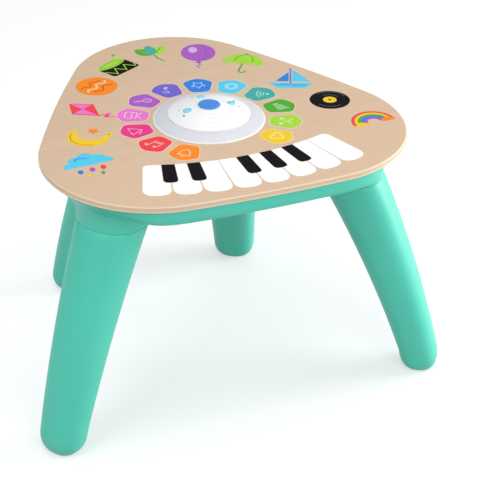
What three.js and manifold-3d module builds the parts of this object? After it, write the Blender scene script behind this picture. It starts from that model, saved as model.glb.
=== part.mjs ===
import * as THREE from "three";
import { mergeVertices } from "three/addons/utils/BufferGeometryUtils.js";
import Module from "manifold-3d";

// Musical activity table: a plywood play surface with printed touch keys and pads round a domed
// control module, on a moulded base with four plug-in legs. Millimetres, +Z up, keyboard towards -Y,
// and the module's centre on the Z axis until the whole is moved to stand over its box's middle.

// Play surface
const surfaceHeight = 350;
const woodThickness = 9;
const woodEdgeRound = 2.6;
const frontCornerX = 93;
const frontCornerBack = 57;
const frontCornerRadius = 142;
const backCornerY = 130;
const backCornerRadius = 135;
const sideRadius = 1800;
const woodUnder = surfaceHeight - woodThickness;

// Moulded base under the wood
const apronInset = 3;
const apronDepth = 21;
const apronTuck = 9;
const apronRound = 15;
const funnelDepth = 24;
const funnelCore = THREE.MathUtils.degToRad(22);
const funnelReach = THREE.MathUtils.degToRad(52);
const baseWall = 3;
const baseFloorLow = woodUnder - apronDepth;
const baseFloorTop = baseFloorLow + baseWall;

// Legs: a leaning, tapering superellipse, measured from the axis of its own socket
const frontLegRadius = 185.5;
const backLegRadius = 151.5;
const frontLegTurn = THREE.MathUtils.degToRad(29.4);
const backLegTurn = THREE.MathUtils.degToRad(60);
const seamDepth = 65;
const seamHeight = surfaceHeight - seamDepth;
const seamSlope = 0.09;
const legTopRadial = 41;
const legTopAcross = 43;
const legFootRadial = 26.2;
const legFootAcross = 29.8;
const legSplay = 101;
const legBowShare = 0.24;
const legWall = 3.6;
const legRoundness = 2.4;
const footRound = 24;
const footFlatShare = 0.5;
const footLeanShare = 0.97;
const legSides = 20;
const legRingShares = [0, 1 / 5, 2 / 5, 3 / 5, 4 / 5, 1];
const legInsideShares = [0, 1 / 2, 1];
const spigotWall = 4.2;
const spigotHeight = 27;
const neckFlare = 26;
const neckFlareShare = 0.9;
const neckTopGap = 3;
const legScrewLift = 2;

// Control module
const moduleHoleRadius = 66;
const rimRadius = 71.3;
const rimThickness = 1.5;
const cupWall = 2.4;
const cupFloor = 2.2;
const ringLowRadius = 69.4;
const capRadius = 52.4;
const capRise = 8.75;
const capWall = 2.4;
const capLip = 1.9;
const capEdgeShare = 0.33;
const domeOutsideShares = [0.92, 0.62, 0.3];
const domeInsideShares = [0.35, 0.7, 1];
const lightRingWall = 2;
const ringSlopeShares = [0.35, 0.5];
const domeRadius = 130;
const centreButtonRadius = 13.75;
const modeButtonRadius = 5.25;
const modeButtonReach = 29.5;
const buttonProud = 1.5;
const buttonEdgeShare = 0.8;
const crownShares = [0.8, 0.7];
const buttonFlange = 1.8;
const buttonFlangeThickness = 1.1;
const buttonTravel = 1.5;
const stemRadius = 2.4;
const slotWidth = 2.2;
const slotRadii = [26, 33, 40];
const slotHalfAngle = THREE.MathUtils.degToRad(21);

// Electronics in the module
const boardRadius = 60;
const boardThickness = 1.6;
const boardDepth = 6;
const speakerRadius = 18.4;
const speakerBack = 34;
const speakerFlange = 1.5;
const speakerConeDepth = 6;
const speakerFrameWall = 1;
const speakerConeWall = 0.6;
const coneFootRadius = 9;
const coneShares = [0.5, 0.8];
const magnetRadius = 11;
const magnetHeight = 6;
const tactSize = 6;
const tactHeight = 4.4;
const tactBodyShare = 0.75;
const tactPlungerRadius = 1.6;
const ledCount = 12;
const ledSize = 3.5;
const ledHeight = 1.6;
const filmThickness = 0.4;

// Batteries, their case and its door
const cellRadius = 7.1;
const cellLength = 49.2;
const cellNubRadius = 2.7;
const cellNubLength = 1.3;
const cellCount = 3;
const cellGap = 0.5;
const caseWall = 1.6;
const caseReach = 97;
const caseTurn = Math.PI;
const springLength = 6.2;
const springShare = 0.7;
const plateThickness = 0.5;
const leadRadius = 1.6;
const doorThickness = 2.2;
const doorGap = 0.5;
const doorHingeGap = 1;
const doorPinRadius = 1.2;
const doorBarrelRadius = 2.1;
const doorTab = 13;

// Slide switch
const switchX = 60;
const switchY = -97;
const switchLength = 22;
const switchWidth = 10;
const switchHeight = 9;
const knobLength = 5;
const knobWidth = 4.2;
const knobTravel = 3;
const knobProud = 1.6;
const knobCorner = 1;
const knobEdge = 0.4;

// Printed keyboard and touch pads
const printThickness = 0.2;
const keyBackReach = 110;
const keyWidth = 30.84;
const keyLength = 75;
const keyInnerRadius = 357;
const keyOuterRadius = keyInnerRadius + keyLength;
const keyFanBack = keyInnerRadius - keyBackReach;
const keyStep = keyWidth / keyInnerRadius;
const keyGap = 1.1;
const keyCornerRadius = 13;
const keyBackCorner = 8;
const keyStrip = 1.5;
const whiteKeyCount = 8;
const blackKeyAfter = [1, 2, 4, 5, 6];
const blackWidthShare = 0.55;
const blackLengthShare = 0.6;
const blackCorner = 5;
const padCount = 12;
const padStep = (2 * Math.PI) / (padCount + 2);
const padInnerRadius = 78;
const padOuterRadius = 117;
const padInnerHalf = 12;
const padOuterHalf = 20;
const padCorner = 7;

// Fasteners
const screwRadius = 1.7;
const screwHeadRadius = 3.6;
const screwHeadHeight = 2.4;
const bossRadius = 5.6;
const slimBossRadius = 4.6;
const woodScrewBite = 6;

// Fits
const moduleSegments = 40;
const clearance = 0.3;
const looseFit = 0.4;
const overrun = 2;
const weldDistance = 0.001;

const wasm = await Module();
wasm.setup();

const finishes = {
  plywood: { color: 0xdec2a5, roughness: 0.55, metalness: 0 },
  teal: { color: 0x5ccdb4, roughness: 0.45, metalness: 0 },
  white: { color: 0xf6f6f4, roughness: 0.4, metalness: 0 },
  ring: { color: 0xd4d7e1, roughness: 0.35, metalness: 0 },
  blue: { color: 0x3e85d7, roughness: 0.3, metalness: 0 },
  aqua: { color: 0x82d7e6, roughness: 0.3, metalness: 0 },
  steel: { color: 0xb9bcc0, roughness: 0.3, metalness: 1 },
  circuit: { color: 0x1f6b3c, roughness: 0.5, metalness: 0 },
  charcoal: { color: 0x26282b, roughness: 0.6, metalness: 0 },
  paper: { color: 0x3a3a3c, roughness: 0.9, metalness: 0 },
  film: { color: 0xc9a45a, roughness: 0.5, metalness: 0 },
  cell: { color: 0x4f7f5a, roughness: 0.35, metalness: 0 },
  lead: { color: 0xb3352c, roughness: 0.6, metalness: 0 },
  keyWhite: { color: 0xfdfdfb, roughness: 0.45, metalness: 0 },
  keyBlack: { color: 0x101014, roughness: 0.45, metalness: 0 },
};
const padColours = [
  0xf08519, 0xea3f46, 0xe23a86, 0xe07cc4, 0xa45bb8, 0x6d63c0,
  0x2f7dd0, 0x4fc3e4, 0x3fa59d, 0x4fa535, 0x9fd03c, 0xe6c32e,
];

const root = new THREE.Group();

// A named mesh with a material of its own
function addPart(name, geometry, finish, parent = root) {
  const material = new THREE.MeshStandardMaterial(finishes[finish] ?? { color: finish, roughness: 0.5 });
  const mesh = new THREE.Mesh(geometry.isBufferGeometry ? geometry : meshOf(geometry), material);
  mesh.name = name;
  parent.add(mesh);
  return mesh;
}

// A closed geometry as a solid that can be joined and cut
function solidOf(geometry) {
  const bare = geometry.clone();
  bare.deleteAttribute("normal");
  bare.deleteAttribute("uv");
  const merged = mergeVertices(bare, weldDistance);
  const corners = merged.index.array;
  const kept = [];
  for (let i = 0; i < corners.length; i += 3) {
    const [a, b, c] = corners.slice(i, i + 3);
    if (a !== b && b !== c && c !== a) kept.push(a, b, c);
  }
  return new wasm.Manifold(
    new wasm.Mesh({
      numProp: 3,
      vertProperties: new Float32Array(merged.attributes.position.array),
      triVerts: new Uint32Array(kept),
    }),
  );
}

// A solid's faces back as a geometry
function meshOf(solid) {
  const mesh = solid.getMesh();
  const geometry = new THREE.BufferGeometry();
  geometry.setAttribute("position", new THREE.BufferAttribute(mesh.vertProperties, mesh.numProp));
  geometry.setIndex(new THREE.BufferAttribute(mesh.triVerts, 1));
  const flat = geometry.toNonIndexed();
  flat.computeVertexNormals();
  return flat;
}

const asSolid = (piece) => (piece.isBufferGeometry ? solidOf(piece) : piece);

function join(...pieces) {
  return pieces.map(asSolid).reduce((whole, piece) => whole.add(piece));
}

function cut(body, ...tools) {
  return tools.map(asSolid).reduce((rest, tool) => rest.subtract(tool), asSolid(body));
}

// A flat shape raised from low to high, with its edges rounded where a round is given
function slab(shape, low, high, round = 0, curveSegments = 6) {
  const geometry = new THREE.ExtrudeGeometry(shape, {
    depth: high - low - 2 * round,
    curveSegments,
    bevelEnabled: round > 0,
    bevelThickness: round,
    bevelSize: round,
    bevelOffset: -round,
    bevelSegments: 2,
  });
  return geometry.translate(0, 0, low + round);
}

function disc(radius, low, high, segments = 20) {
  return new THREE.CylinderGeometry(radius, radius, high - low, segments)
    .rotateX(Math.PI / 2)
    .translate(0, 0, (low + high) / 2);
}

function block(width, depth, low, high) {
  return new THREE.BoxGeometry(width, depth, high - low).translate(0, 0, (low + high) / 2);
}

// A profile of [radius, height] points turned about the Z axis
function turned(profile, segments = 48) {
  const points = profile.map(([r, z]) => new THREE.Vector2(r, z));
  return new THREE.LatheGeometry(points, segments).rotateX(Math.PI / 2);
}

const polar = (radius, turn) => [radius * Math.cos(turn), radius * Math.sin(turn)];

function roundedRectangle(width, depth, corner) {
  const [w, d] = [width / 2, depth / 2];
  const shape = new THREE.Shape();
  shape.absarc(w - corner, d - corner, corner, 0, Math.PI / 2);
  shape.absarc(corner - w, d - corner, corner, Math.PI / 2, Math.PI);
  shape.absarc(corner - w, corner - d, corner, Math.PI, 1.5 * Math.PI);
  shape.absarc(w - corner, corner - d, corner, 1.5 * Math.PI, 2 * Math.PI);
  return shape;
}

// A closed skin over rings of equal count, from the first ring's cap to the last ring's
function ringSolid(rings) {
  const count = rings[0].length;
  const points = rings.flat();
  const index = [];
  for (let i = 0; i + 1 < rings.length; i++) {
    for (let j = 0; j < count; j++) {
      const [a, b] = [i * count + j, i * count + ((j + 1) % count)];
      index.push(a, b, b + count, a, b + count, a + count);
    }
  }
  const centre = (ring) => ring.reduce((sum, p) => sum.add(p), new THREE.Vector3()).divideScalar(count);
  const first = points.push(centre(rings[0])) - 1;
  const last = points.push(centre(rings[rings.length - 1])) - 1;
  const lastRing = (rings.length - 1) * count;
  for (let j = 0; j < count; j++) {
    const next = (j + 1) % count;
    index.push(first, next, j, last, lastRing + j, lastRing + next);
  }
  const geometry = new THREE.BufferGeometry().setFromPoints(points);
  geometry.setIndex(index);
  return geometry.toNonIndexed();
}

// The rounded triangle of the top, every arc drawn in by the inset
const corners = [
  { x: -frontCornerX, y: -frontCornerBack, r: frontCornerRadius },
  { x: frontCornerX, y: -frontCornerBack, r: frontCornerRadius },
  { x: 0, y: backCornerY, r: backCornerRadius },
];

// Centre of the long arc that touches two neighbouring corner arcs from outside
function sideCentre(from, to) {
  const [dx, dy] = [to.x - from.x, to.y - from.y];
  const gap = Math.hypot(dx, dy);
  const [a, b] = [sideRadius - from.r, sideRadius - to.r];
  const along = (a * a - b * b + gap * gap) / (2 * gap);
  const across = Math.sqrt(a * a - along * along);
  return { x: from.x + (dx * along - dy * across) / gap, y: from.y + (dy * along + dx * across) / gap };
}

const sides = corners.map((corner, i) => sideCentre(corner, corners[(i + 1) % corners.length]));

function topOutline(inset) {
  const shape = new THREE.Shape();
  const bearing = (centre, point) => Math.atan2(point.y - centre.y, point.x - centre.x);
  corners.forEach((corner, i) => {
    const next = corners[(i + 1) % corners.length];
    const side = sides[i];
    const start = bearing(side, corner);
    const end = bearing(side, next);
    shape.absarc(side.x, side.y, sideRadius - inset, start, end);
    shape.absarc(next.x, next.y, next.r - inset, end, bearing(sides[(i + 1) % sides.length], next));
  });
  return shape;
}

// The outline as points: few along the long sides, more round the corners
function outlinePoints(inset) {
  const arcs = topOutline(inset).curves.filter((curve) => curve.isEllipseCurve);
  return arcs.flatMap((arc) => arc.getPoints(arc.xRadius > sideRadius / 2 ? 3 : 12).slice(1));
}

const topFront = -(sideRadius - sides[0].y);
const topBack = backCornerY + backCornerRadius;

function at(geometry, x, y) {
  return geometry.translate(x, y, 0);
}

// Places round the top where the base is screwed to the wood, as bearing and distance in from the edge
const topScrewTurnShares = [-0.5, 0.02, 0.37, 0.63, 0.98];
const topScrewBearings = topScrewTurnShares.map((share) => share * Math.PI);
const topScrewInset = 13;

function edgeDistance(bearing) {
  const direction = new THREE.Vector2(Math.cos(bearing), Math.sin(bearing));
  const outline = outlinePoints(0);
  let reach = 0;
  outline.forEach((p, i) => {
    const q = outline[(i + 1) % outline.length];
    const span = q.clone().sub(p);
    const area = direction.cross(span);
    if (Math.abs(area) < weldDistance) return;
    const share = p.cross(direction) / area;
    if (share >= 0 && share <= 1) reach = Math.max(reach, p.cross(span) / area);
  });
  return reach;
}

const topScrewPlaces = topScrewBearings.map((bearing) => {
  const reach = edgeDistance(bearing) - apronInset - apronTuck - topScrewInset;
  return polar(reach, bearing);
});

function screwHole(x, y, low, high) {
  return at(disc(screwRadius + clearance, low, high, 8), x, y);
}

// Head down, shank up, from the given height of the head's lower face
function screwUp(x, y, headLow, length) {
  const neck = headLow + screwHeadHeight;
  const profile = [
    [0, headLow],
    [screwHeadRadius, headLow],
    [screwHeadRadius, neck],
    [screwRadius, neck],
    [screwRadius, neck + length - screwRadius],
    [0, neck + length],
  ];
  return at(turned(profile, 8), x, y);
}

const topScrewHead = baseFloorLow + clearance;
const topScrewLength = woodUnder + woodScrewBite - topScrewHead - screwHeadHeight;

function tableTop() {
  const board = slab(new THREE.Shape(outlinePoints(0)), woodUnder, surfaceHeight, woodEdgeRound);
  const moduleHole = disc(moduleHoleRadius, woodUnder - overrun, surfaceHeight + overrun, moduleSegments);
  const [from, to] = [woodUnder - overrun, woodUnder + woodScrewBite + clearance];
  const pilots = topScrewPlaces.map(([x, y]) => screwHole(x, y, from, to));
  return cut(board, moduleHole, ...pilots);
}

// Leg sections lie level; the leg's own axis X points away from the table's middle
function legSection(height, radial, across, centreX, slope = 0) {
  const ring = [];
  const power = 2 / legRoundness;
  for (let i = 0; i < legSides; i++) {
    const turn = (2 * Math.PI * i) / legSides;
    const [c, s] = [Math.cos(turn), Math.sin(turn)];
    const x = radial * Math.sign(c) * Math.abs(c) ** power;
    const y = across * Math.sign(s) * Math.abs(s) ** power;
    ring.push(new THREE.Vector3(centreX + x, y, height + slope * x));
  }
  return ring;
}

// Lean of the centreline below the seam, bowed outwards in the middle
function legLean(share) {
  return legSplay * (share * (1 + legBowShare) - legBowShare * share * share);
}

function legRing(share, inset = 0) {
  const low = footRound;
  const height = seamHeight + (low - seamHeight) * share;
  const radial = THREE.MathUtils.lerp(legTopRadial, legFootRadial, share) - inset;
  const across = THREE.MathUtils.lerp(legTopAcross, legFootAcross, share) - inset;
  return legSection(height, radial, across, legLean(share), seamSlope * (1 - share));
}

// The rounded foot end: a quarter ellipse from the leg's full section to the flat
function footRings() {
  const steps = 3;
  const rings = [];
  for (let i = 0; i < steps; i++) {
    const turn = (Math.PI / 2) * (i / steps);
    const spread = footFlatShare + (1 - footFlatShare) * Math.sin(turn);
    const height = footRound * (1 - Math.cos(turn));
    const ahead = legLean(1) + (legLean(1) - legLean(footLeanShare)) * (1 - height / footRound);
    rings.push(legSection(height, legFootRadial * spread, legFootAcross * spread, ahead));
  }
  return rings;
}

const spigotTop = seamHeight + spigotHeight;
const legScrewHeight = seamHeight + spigotHeight / 2 + legScrewLift;
const legScrewLength = 13;

function spigotSection(height, inset = 0) {
  return legSection(height, legTopRadial - spigotWall - inset, legTopAcross - spigotWall - inset, 0);
}

function legShell() {
  const outside = legRingShares.map((share) => legRing(share)).reverse();
  const shoulder = legSection(seamHeight, legTopRadial - spigotWall, legTopAcross - spigotWall, 0, seamSlope);
  const inside = legInsideShares.map((share) => legRing(share, legWall + spigotWall * (1 - share)));
  const skin = ringSolid([
    ...footRings(),
    ...outside,
    shoulder,
    spigotSection(spigotTop),
    spigotSection(spigotTop, legWall),
    ...inside,
  ]);
  const innerFace = -(legTopRadial - spigotWall);
  const boss = disc(bossRadius, 0, legScrewLength - legWall, 10)
    .rotateY(Math.PI / 2)
    .translate(innerFace + legWall / 2, 0, legScrewHeight);
  const bossHole = disc(screwRadius + clearance, -overrun, legScrewLength + overrun, 8)
    .rotateY(Math.PI / 2)
    .translate(innerFace - legWall, 0, legScrewHeight);
  return cut(join(skin, boss), bossHole);
}

// A screw through the neck's inner wall into the leg's plug, head towards the table's middle
function legScrew() {
  const headFace = -(legTopRadial + clearance);
  return screwUp(0, 0, 0, legScrewLength).rotateY(Math.PI / 2).translate(headFace, 0, legScrewHeight);
}

// The neck that each leg plugs into: a trumpet that opens out towards the wood's edge
function neckOutside() {
  const flareTop = woodUnder - neckTopGap;
  const flareHeight = (flareTop - seamHeight) * neckFlareShare;
  const flareStart = flareTop - flareHeight;
  const rings = [legSection(seamHeight + clearance, legTopRadial, legTopAcross, 0, seamSlope)];
  const steps = 5;
  for (let i = 0; i <= steps; i++) {
    const rise = Math.sin((Math.PI / 2) * (i / steps));
    const spread = neckFlare * (1 - Math.sqrt(1 - rise * rise));
    const height = flareStart + flareHeight * rise;
    rings.push(legSection(height, legTopRadial + spread, legTopAcross + spread, 0));
  }
  return ringSolid(rings);
}

function neckInside() {
  const fit = looseFit - spigotWall;
  const reach = [seamHeight - overrun - legTopRadial * seamSlope, spigotTop + clearance];
  return ringSolid(reach.map((z) => legSection(z, legTopRadial + fit, legTopAcross + fit, 0)));
}

function neckScrewHole() {
  const outer = -(legTopRadial + overrun);
  const headSeat = -(legTopRadial - screwHeadHeight - clearance);
  const hole = disc(screwRadius + clearance, 0, legScrewLength, 8).rotateY(Math.PI / 2);
  const seat = disc(screwHeadRadius + looseFit, 0, headSeat - outer, 10).rotateY(Math.PI / 2);
  return join(hole.translate(outer, 0, legScrewHeight), seat.translate(outer, 0, legScrewHeight));
}

const legPlaces = [
  { name: "front_right", turn: -frontLegTurn, radius: frontLegRadius },
  { name: "front_left", turn: Math.PI + frontLegTurn, radius: frontLegRadius },
  { name: "back_right", turn: backLegTurn, radius: backLegRadius },
  { name: "back_left", turn: Math.PI - backLegTurn, radius: backLegRadius },
];

// From a leg's own axes to the table's
function placeLeg(geometry, { turn, radius }) {
  return geometry.clone().translate(radius, 0, 0).rotateZ(turn);
}

// One beside a front leg's neck, fading to zero further round the corner and along the sides
function besideNeck(point) {
  const shares = legPlaces.slice(0, 2).map(({ turn, radius }) => {
    const leg = new THREE.Vector2(...polar(radius, turn));
    const corner = corners.find(({ x }) => x * leg.x > 0);
    const centre = new THREE.Vector2(corner.x, corner.y);
    const away = point.clone().sub(centre).angleTo(leg.sub(centre));
    return 1 - THREE.MathUtils.smoothstep(away, funnelCore, funnelReach);
  });
  return Math.max(...shares);
}

// The base's outline at each height: rounded in along the sides, and beside the front necks drawn
// back behind their trumpets
function apronRings(inset, low, high, steps) {
  const edge = outlinePoints(0);
  const drawn = outlinePoints(apronInset);
  const ringAt = (tuck, z) => {
    const funnel = funnelDepth * ((high - z) / (high - low)) ** 2;
    return edge.map((p, i) => {
      const depth = inset + THREE.MathUtils.lerp(tuck, funnel, besideNeck(p));
      const { x, y } = p.clone().lerp(drawn[i], depth / apronInset);
      return new THREE.Vector3(x, y, z);
    });
  };
  const rings = [];
  for (let i = 0; i <= steps; i++) {
    const turn = (Math.PI / 2) * (i / steps);
    rings.push(ringAt(apronTuck * (1 - Math.sin(turn)), low + apronRound * (1 - Math.cos(turn))));
  }
  rings.push(ringAt(0, high));
  return rings;
}

const modulePosts = [40, 140, 195, 345].map((turn) => THREE.MathUtils.degToRad(turn));
const modulePostRadius = moduleHoleRadius - cupWall - bossRadius;
const modulePlaces = modulePosts.map((turn) => polar(modulePostRadius, turn));
const cupLow = baseFloorTop;
const moduleScrewLength = 11;
const moduleScrewHead = baseFloorLow - screwHeadHeight - clearance;

// The case's opening and the door's hinge line, shared by the base, the case and the door; all of
// these are drawn on the +Y side of the module and then turned to theirs
const toCase = (geometry) => geometry.rotateZ(caseTurn);
const caseInnerWidth = cellCount * 2 * cellRadius + (cellCount + 1) * cellGap;
const caseInnerLength = cellLength + cellNubLength + springLength;
const caseLow = baseFloorTop;
const cellCentreZ = caseLow + cellRadius + cellGap;
const caseTop = cellCentreZ + cellRadius + cellGap + caseWall;
const doorFront = caseReach - caseInnerWidth / 2;
const doorBack = caseReach + caseInnerWidth / 2 + doorTab;
const doorHinge = {
  y: doorFront + doorHingeGap + doorBarrelRadius,
  z: baseFloorLow + doorBarrelRadius + clearance,
};
const doorScrewY = doorBack - doorTab / 2;
const doorPostHeight = 8;
const hingePadLength = 7;

function batteryOpening() {
  const [low, high] = [baseFloorLow - overrun, baseFloorTop + overrun];
  const opening = block(caseInnerLength, doorBack - doorFront, low, high);
  return toCase(opening.translate(0, (doorBack + doorFront) / 2, 0));
}

// Two ears beside the opening, bored for the door's pins, with room round them where asked
function hingeEars(room = 0) {
  const height = doorHinge.z + doorBarrelRadius + caseWall + room;
  const reach = caseInnerLength / 2 + hingePadLength / 2;
  const [length, depth] = [hingePadLength + 2 * room, 2 * doorBarrelRadius + caseWall + 2 * room];
  const ear = block(length, depth, baseFloorLow + clearance, height);
  return [-reach, reach].map((x) => toCase(ear.clone().translate(x, doorHinge.y, 0)));
}

// A round bar along the hinge line
function onHinge(radius, reach, segments) {
  const bar = disc(radius, -reach, reach, segments).rotateY(Math.PI / 2);
  return bar.translate(0, doorHinge.y, doorHinge.z);
}

function hingeBore() {
  return toCase(onHinge(doorPinRadius + clearance, (caseInnerLength + hingePadLength) / 2, 12));
}

// The slot that the switch's knob travels in
function knobSlot(low, high) {
  const length = knobLength + 2 * (knobTravel + looseFit);
  return at(block(length, knobWidth + 2 * looseFit, low, high), switchX, switchY);
}

// The post that the door's screw enters, reaching over the opening from its back edge
function doorPost() {
  const low = baseFloorLow + doorThickness + doorGap;
  const high = low + doorPostHeight;
  const post = at(disc(slimBossRadius, low, high, 16), 0, doorScrewY);
  const webEnd = doorBack + bossRadius;
  const web = block(bossRadius, webEnd - doorScrewY, low, high).translate(0, (webEnd + doorScrewY) / 2, 0);
  const hole = at(disc(screwRadius + 2 * looseFit, low - overrun, high - caseWall, 12), 0, doorScrewY);
  return cut(join(toCase(post), toCase(web)), toCase(hole));
}

function baseShell() {
  const reach = slab(new THREE.Shape(outlinePoints(apronInset)), seamHeight / 2, woodUnder);
  const necksOutside = join(...legPlaces.map((place) => placeLeg(neckOutside(), place)));
  const outside = join(
    ringSolid(apronRings(apronInset, baseFloorLow, woodUnder, 3)),
    necksOutside.intersect(solidOf(reach)),
  );
  const hollow = ringSolid(apronRings(apronInset + baseWall, baseFloorTop, woodUnder + overrun, 2));
  const sockets = legPlaces.map((place) => placeLeg(neckInside(), place));
  const necks = legPlaces.map((place) => placeLeg(meshOf(neckScrewHole()), place));
  const shell = cut(outside, hollow, ...sockets, ...necks);
  const woodPost = disc(bossRadius, baseFloorTop - clearance, woodUnder, 10);
  const woodPosts = topScrewPlaces.map(([x, y]) => at(woodPost.clone(), x, y));
  const standing = join(shell, ...woodPosts, ...hingeEars());
  const [low, high] = [baseFloorLow - overrun, baseFloorTop + overrun];
  const headRoom = disc(screwHeadRadius + looseFit, low, topScrewHead + screwHeadHeight + clearance, 10);
  const woodHoles = topScrewPlaces.flatMap(([x, y]) => [
    screwHole(x, y, low, woodUnder + overrun),
    at(headRoom.clone(), x, y),
  ]);
  const moduleHoles = modulePlaces.map(([x, y]) => screwHole(x, y, low, high));
  const holes = [batteryOpening(), hingeBore(), knobSlot(low, high), ...woodHoles, ...moduleHoles];
  return join(cut(standing, ...holes), doorPost());
}

// Control module, from the outside in
const rimTop = surfaceHeight + rimThickness;
const capRimHeight = surfaceHeight + capRise;
const domeBase = capRimHeight - Math.sqrt(domeRadius ** 2 - capRadius ** 2);
const domeHeight = (radius, inset = 0) => domeBase + Math.sqrt((domeRadius - inset) ** 2 - radius ** 2);
const boardTop = surfaceHeight - boardDepth + boardThickness;
const boardLow = surfaceHeight - boardDepth;
const speakerSeat = boardLow;
const cupInner = moduleHoleRadius - looseFit - cupWall;
const leadHeight = (cupLow + cupFloor + boardLow) / 2;

function moduleHousing() {
  const outer = cupInner + cupWall;
  const profile = [
    [0, cupLow],
    [outer, cupLow],
    [outer, surfaceHeight],
    [rimRadius, surfaceHeight],
    [rimRadius, rimTop - rimThickness / 3],
    [rimRadius - rimThickness / 2, rimTop],
    [cupInner, rimTop],
    [cupInner, cupLow + cupFloor],
    [0, cupLow + cupFloor],
  ];
  const post = disc(slimBossRadius, cupLow + clearance, boardLow, 10);
  const posts = modulePlaces.map(([x, y]) => at(post.clone(), x, y));
  const ringWall = cut(
    disc(speakerRadius, cupLow + clearance, speakerSeat, 20),
    disc(speakerRadius - cupWall, cupLow, speakerSeat + overrun, 20),
  ).translate([0, -speakerBack, 0]);
  const holes = modulePlaces.map(([x, y]) => screwHole(x, y, cupLow - overrun, boardLow + overrun));
  const leadHole = disc(leadRadius + looseFit, cupInner - overrun, outer + overrun, 12)
    .rotateX(-Math.PI / 2)
    .rotateZ(caseTurn)
    .translate(0, 0, leadHeight);
  return cut(join(turned(profile, moduleSegments), ...posts, ringWall), ...holes, leadHole);
}

function lightRing() {
  const lip = capRimHeight - capLip;
  const wall = lightRingWall;
  const [outShare, upShare] = ringSlopeShares;
  const profile = [
    [cupInner - clearance - wall, rimTop - 3 * wall],
    [cupInner - clearance, rimTop - 3 * wall],
    [cupInner - clearance, rimTop],
    [ringLowRadius, rimTop],
    [THREE.MathUtils.lerp(ringLowRadius, capRadius, outShare), THREE.MathUtils.lerp(rimTop, lip, upShare)],
    [capRadius, lip],
    [capRadius - 3 * wall, lip],
    [capRadius - 3 * wall, lip - wall],
    [capRadius - wall, lip - wall],
    [cupInner - clearance - wall, rimTop],
  ];
  return turned([...profile, profile[0]], moduleSegments);
}

const modeButton = { reach: modeButtonReach, radius: modeButtonRadius, finish: "aqua" };
const buttonPlaces = [
  { name: "centre_button", turn: 0, reach: 0, radius: centreButtonRadius, finish: "blue" },
  { name: "left_button", turn: Math.PI, ...modeButton },
  { name: "back_button", turn: Math.PI / 2, ...modeButton },
  { name: "right_button", turn: 0, ...modeButton },
];

const buttonXY = ({ turn, reach }) => polar(reach, turn);

// An arc-shaped slot with round ends, centred on the speaker's side
function arcSlot(radius) {
  const middle = -Math.PI / 2;
  const half = slotWidth / 2;
  const [start, end] = [middle - slotHalfAngle, middle + slotHalfAngle];
  const shape = new THREE.Shape();
  shape.absarc(0, 0, radius + half, start, end, false);
  shape.absarc(...polar(radius, end), half, end, end + Math.PI, false);
  shape.absarc(0, 0, radius - half, end, start, true);
  shape.absarc(...polar(radius, start), half, start + Math.PI, start + 2 * Math.PI, false);
  return slab(shape, surfaceHeight, domeHeight(0) + overrun, 0, 4);
}

function domeCap() {
  const low = capRimHeight - capLip;
  const inner = capRadius - capWall;
  const outside = domeOutsideShares.map((share) => [capRadius * share, domeHeight(capRadius * share)]);
  const inside = domeInsideShares.map((share) => [inner * share, domeHeight(inner * share, capWall)]);
  const profile = [
    [capRadius, low],
    [capRadius, capRimHeight - capLip * capEdgeShare],
    ...outside,
    [0, domeHeight(0)],
    [0, domeHeight(0) - capWall],
    ...inside,
    [inner, low],
    [capRadius, low],
  ];
  const shell = turned(profile, moduleSegments);
  const top = domeHeight(0) + overrun;
  const holes = buttonPlaces.map((place) => {
    const [x, y] = buttonXY(place);
    return at(disc(place.radius + clearance, surfaceHeight, top, place.reach ? 16 : 28), x, y);
  });
  return cut(shell, ...holes, ...slotRadii.map(arcSlot));
}

// Underside of the dome above a button's flange, at the flange's farthest edge
function flangeTop({ reach, radius }) {
  return domeHeight(reach + radius + buttonFlange, capWall) - clearance;
}

function button(place) {
  const { reach, radius } = place;
  const crown = domeHeight(reach) + buttonProud;
  const edge = crown - buttonProud * buttonEdgeShare;
  const collar = flangeTop(place);
  const stemLow = boardTop + tactHeight + buttonTravel + clearance;
  const profile = [
    [0, stemLow],
    [stemRadius, stemLow],
    [stemRadius, collar - buttonFlangeThickness],
    [radius + buttonFlange, collar - buttonFlangeThickness],
    [radius + buttonFlange, collar],
    [radius, collar],
    [radius, edge],
    [radius * crownShares[0], edge + (crown - edge) * crownShares[1]],
    [0, crown],
  ];
  const [x, y] = buttonXY(place);
  return at(turned(profile, reach ? 16 : 28), x, y);
}

// The board carries a tact switch under each button and a ring of lamps under the light ring
function mainBoard() {
  const [from, to] = [boardLow - overrun, boardTop + overrun];
  const speakerHole = at(disc(speakerRadius + 2 * looseFit, from, to, 24), 0, -speakerBack);
  const holes = modulePlaces.map(([x, y]) => screwHole(x, y, from, to));
  const switches = buttonPlaces.flatMap((place) => {
    const [x, y] = buttonXY(place);
    const body = block(tactSize, tactSize, boardLow + clearance, boardTop + tactHeight * tactBodyShare);
    const plunger = disc(tactPlungerRadius, boardTop, boardTop + tactHeight, 8);
    return [at(body, x, y), at(plunger, x, y)];
  });
  const lamps = [];
  for (let i = 0; i < ledCount; i++) {
    const lamp = block(ledSize, ledSize, boardLow + clearance, boardTop + ledHeight);
    lamp.translate(boardRadius - ledSize, 0, 0);
    lamps.push(lamp.rotateZ((2 * Math.PI * (i + 0.5)) / ledCount));
  }
  const board = cut(disc(boardRadius, boardLow, boardTop, 36), speakerHole, ...holes);
  return join(board, ...switches, ...lamps);
}

function speakerFrame() {
  const low = speakerSeat - speakerConeDepth;
  const wall = speakerFrameWall;
  const profile = [
    [coneFootRadius - wall, low],
    [magnetRadius, low],
    [speakerRadius - cupWall - looseFit, speakerSeat],
    [speakerRadius, speakerSeat],
    [speakerRadius, speakerSeat + speakerFlange],
    [speakerRadius - cupWall, speakerSeat + speakerFlange],
    [coneFootRadius, low + wall],
    [coneFootRadius - wall, low + wall],
  ];
  return at(turned([...profile, profile[0]], 20), 0, -speakerBack);
}

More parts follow.
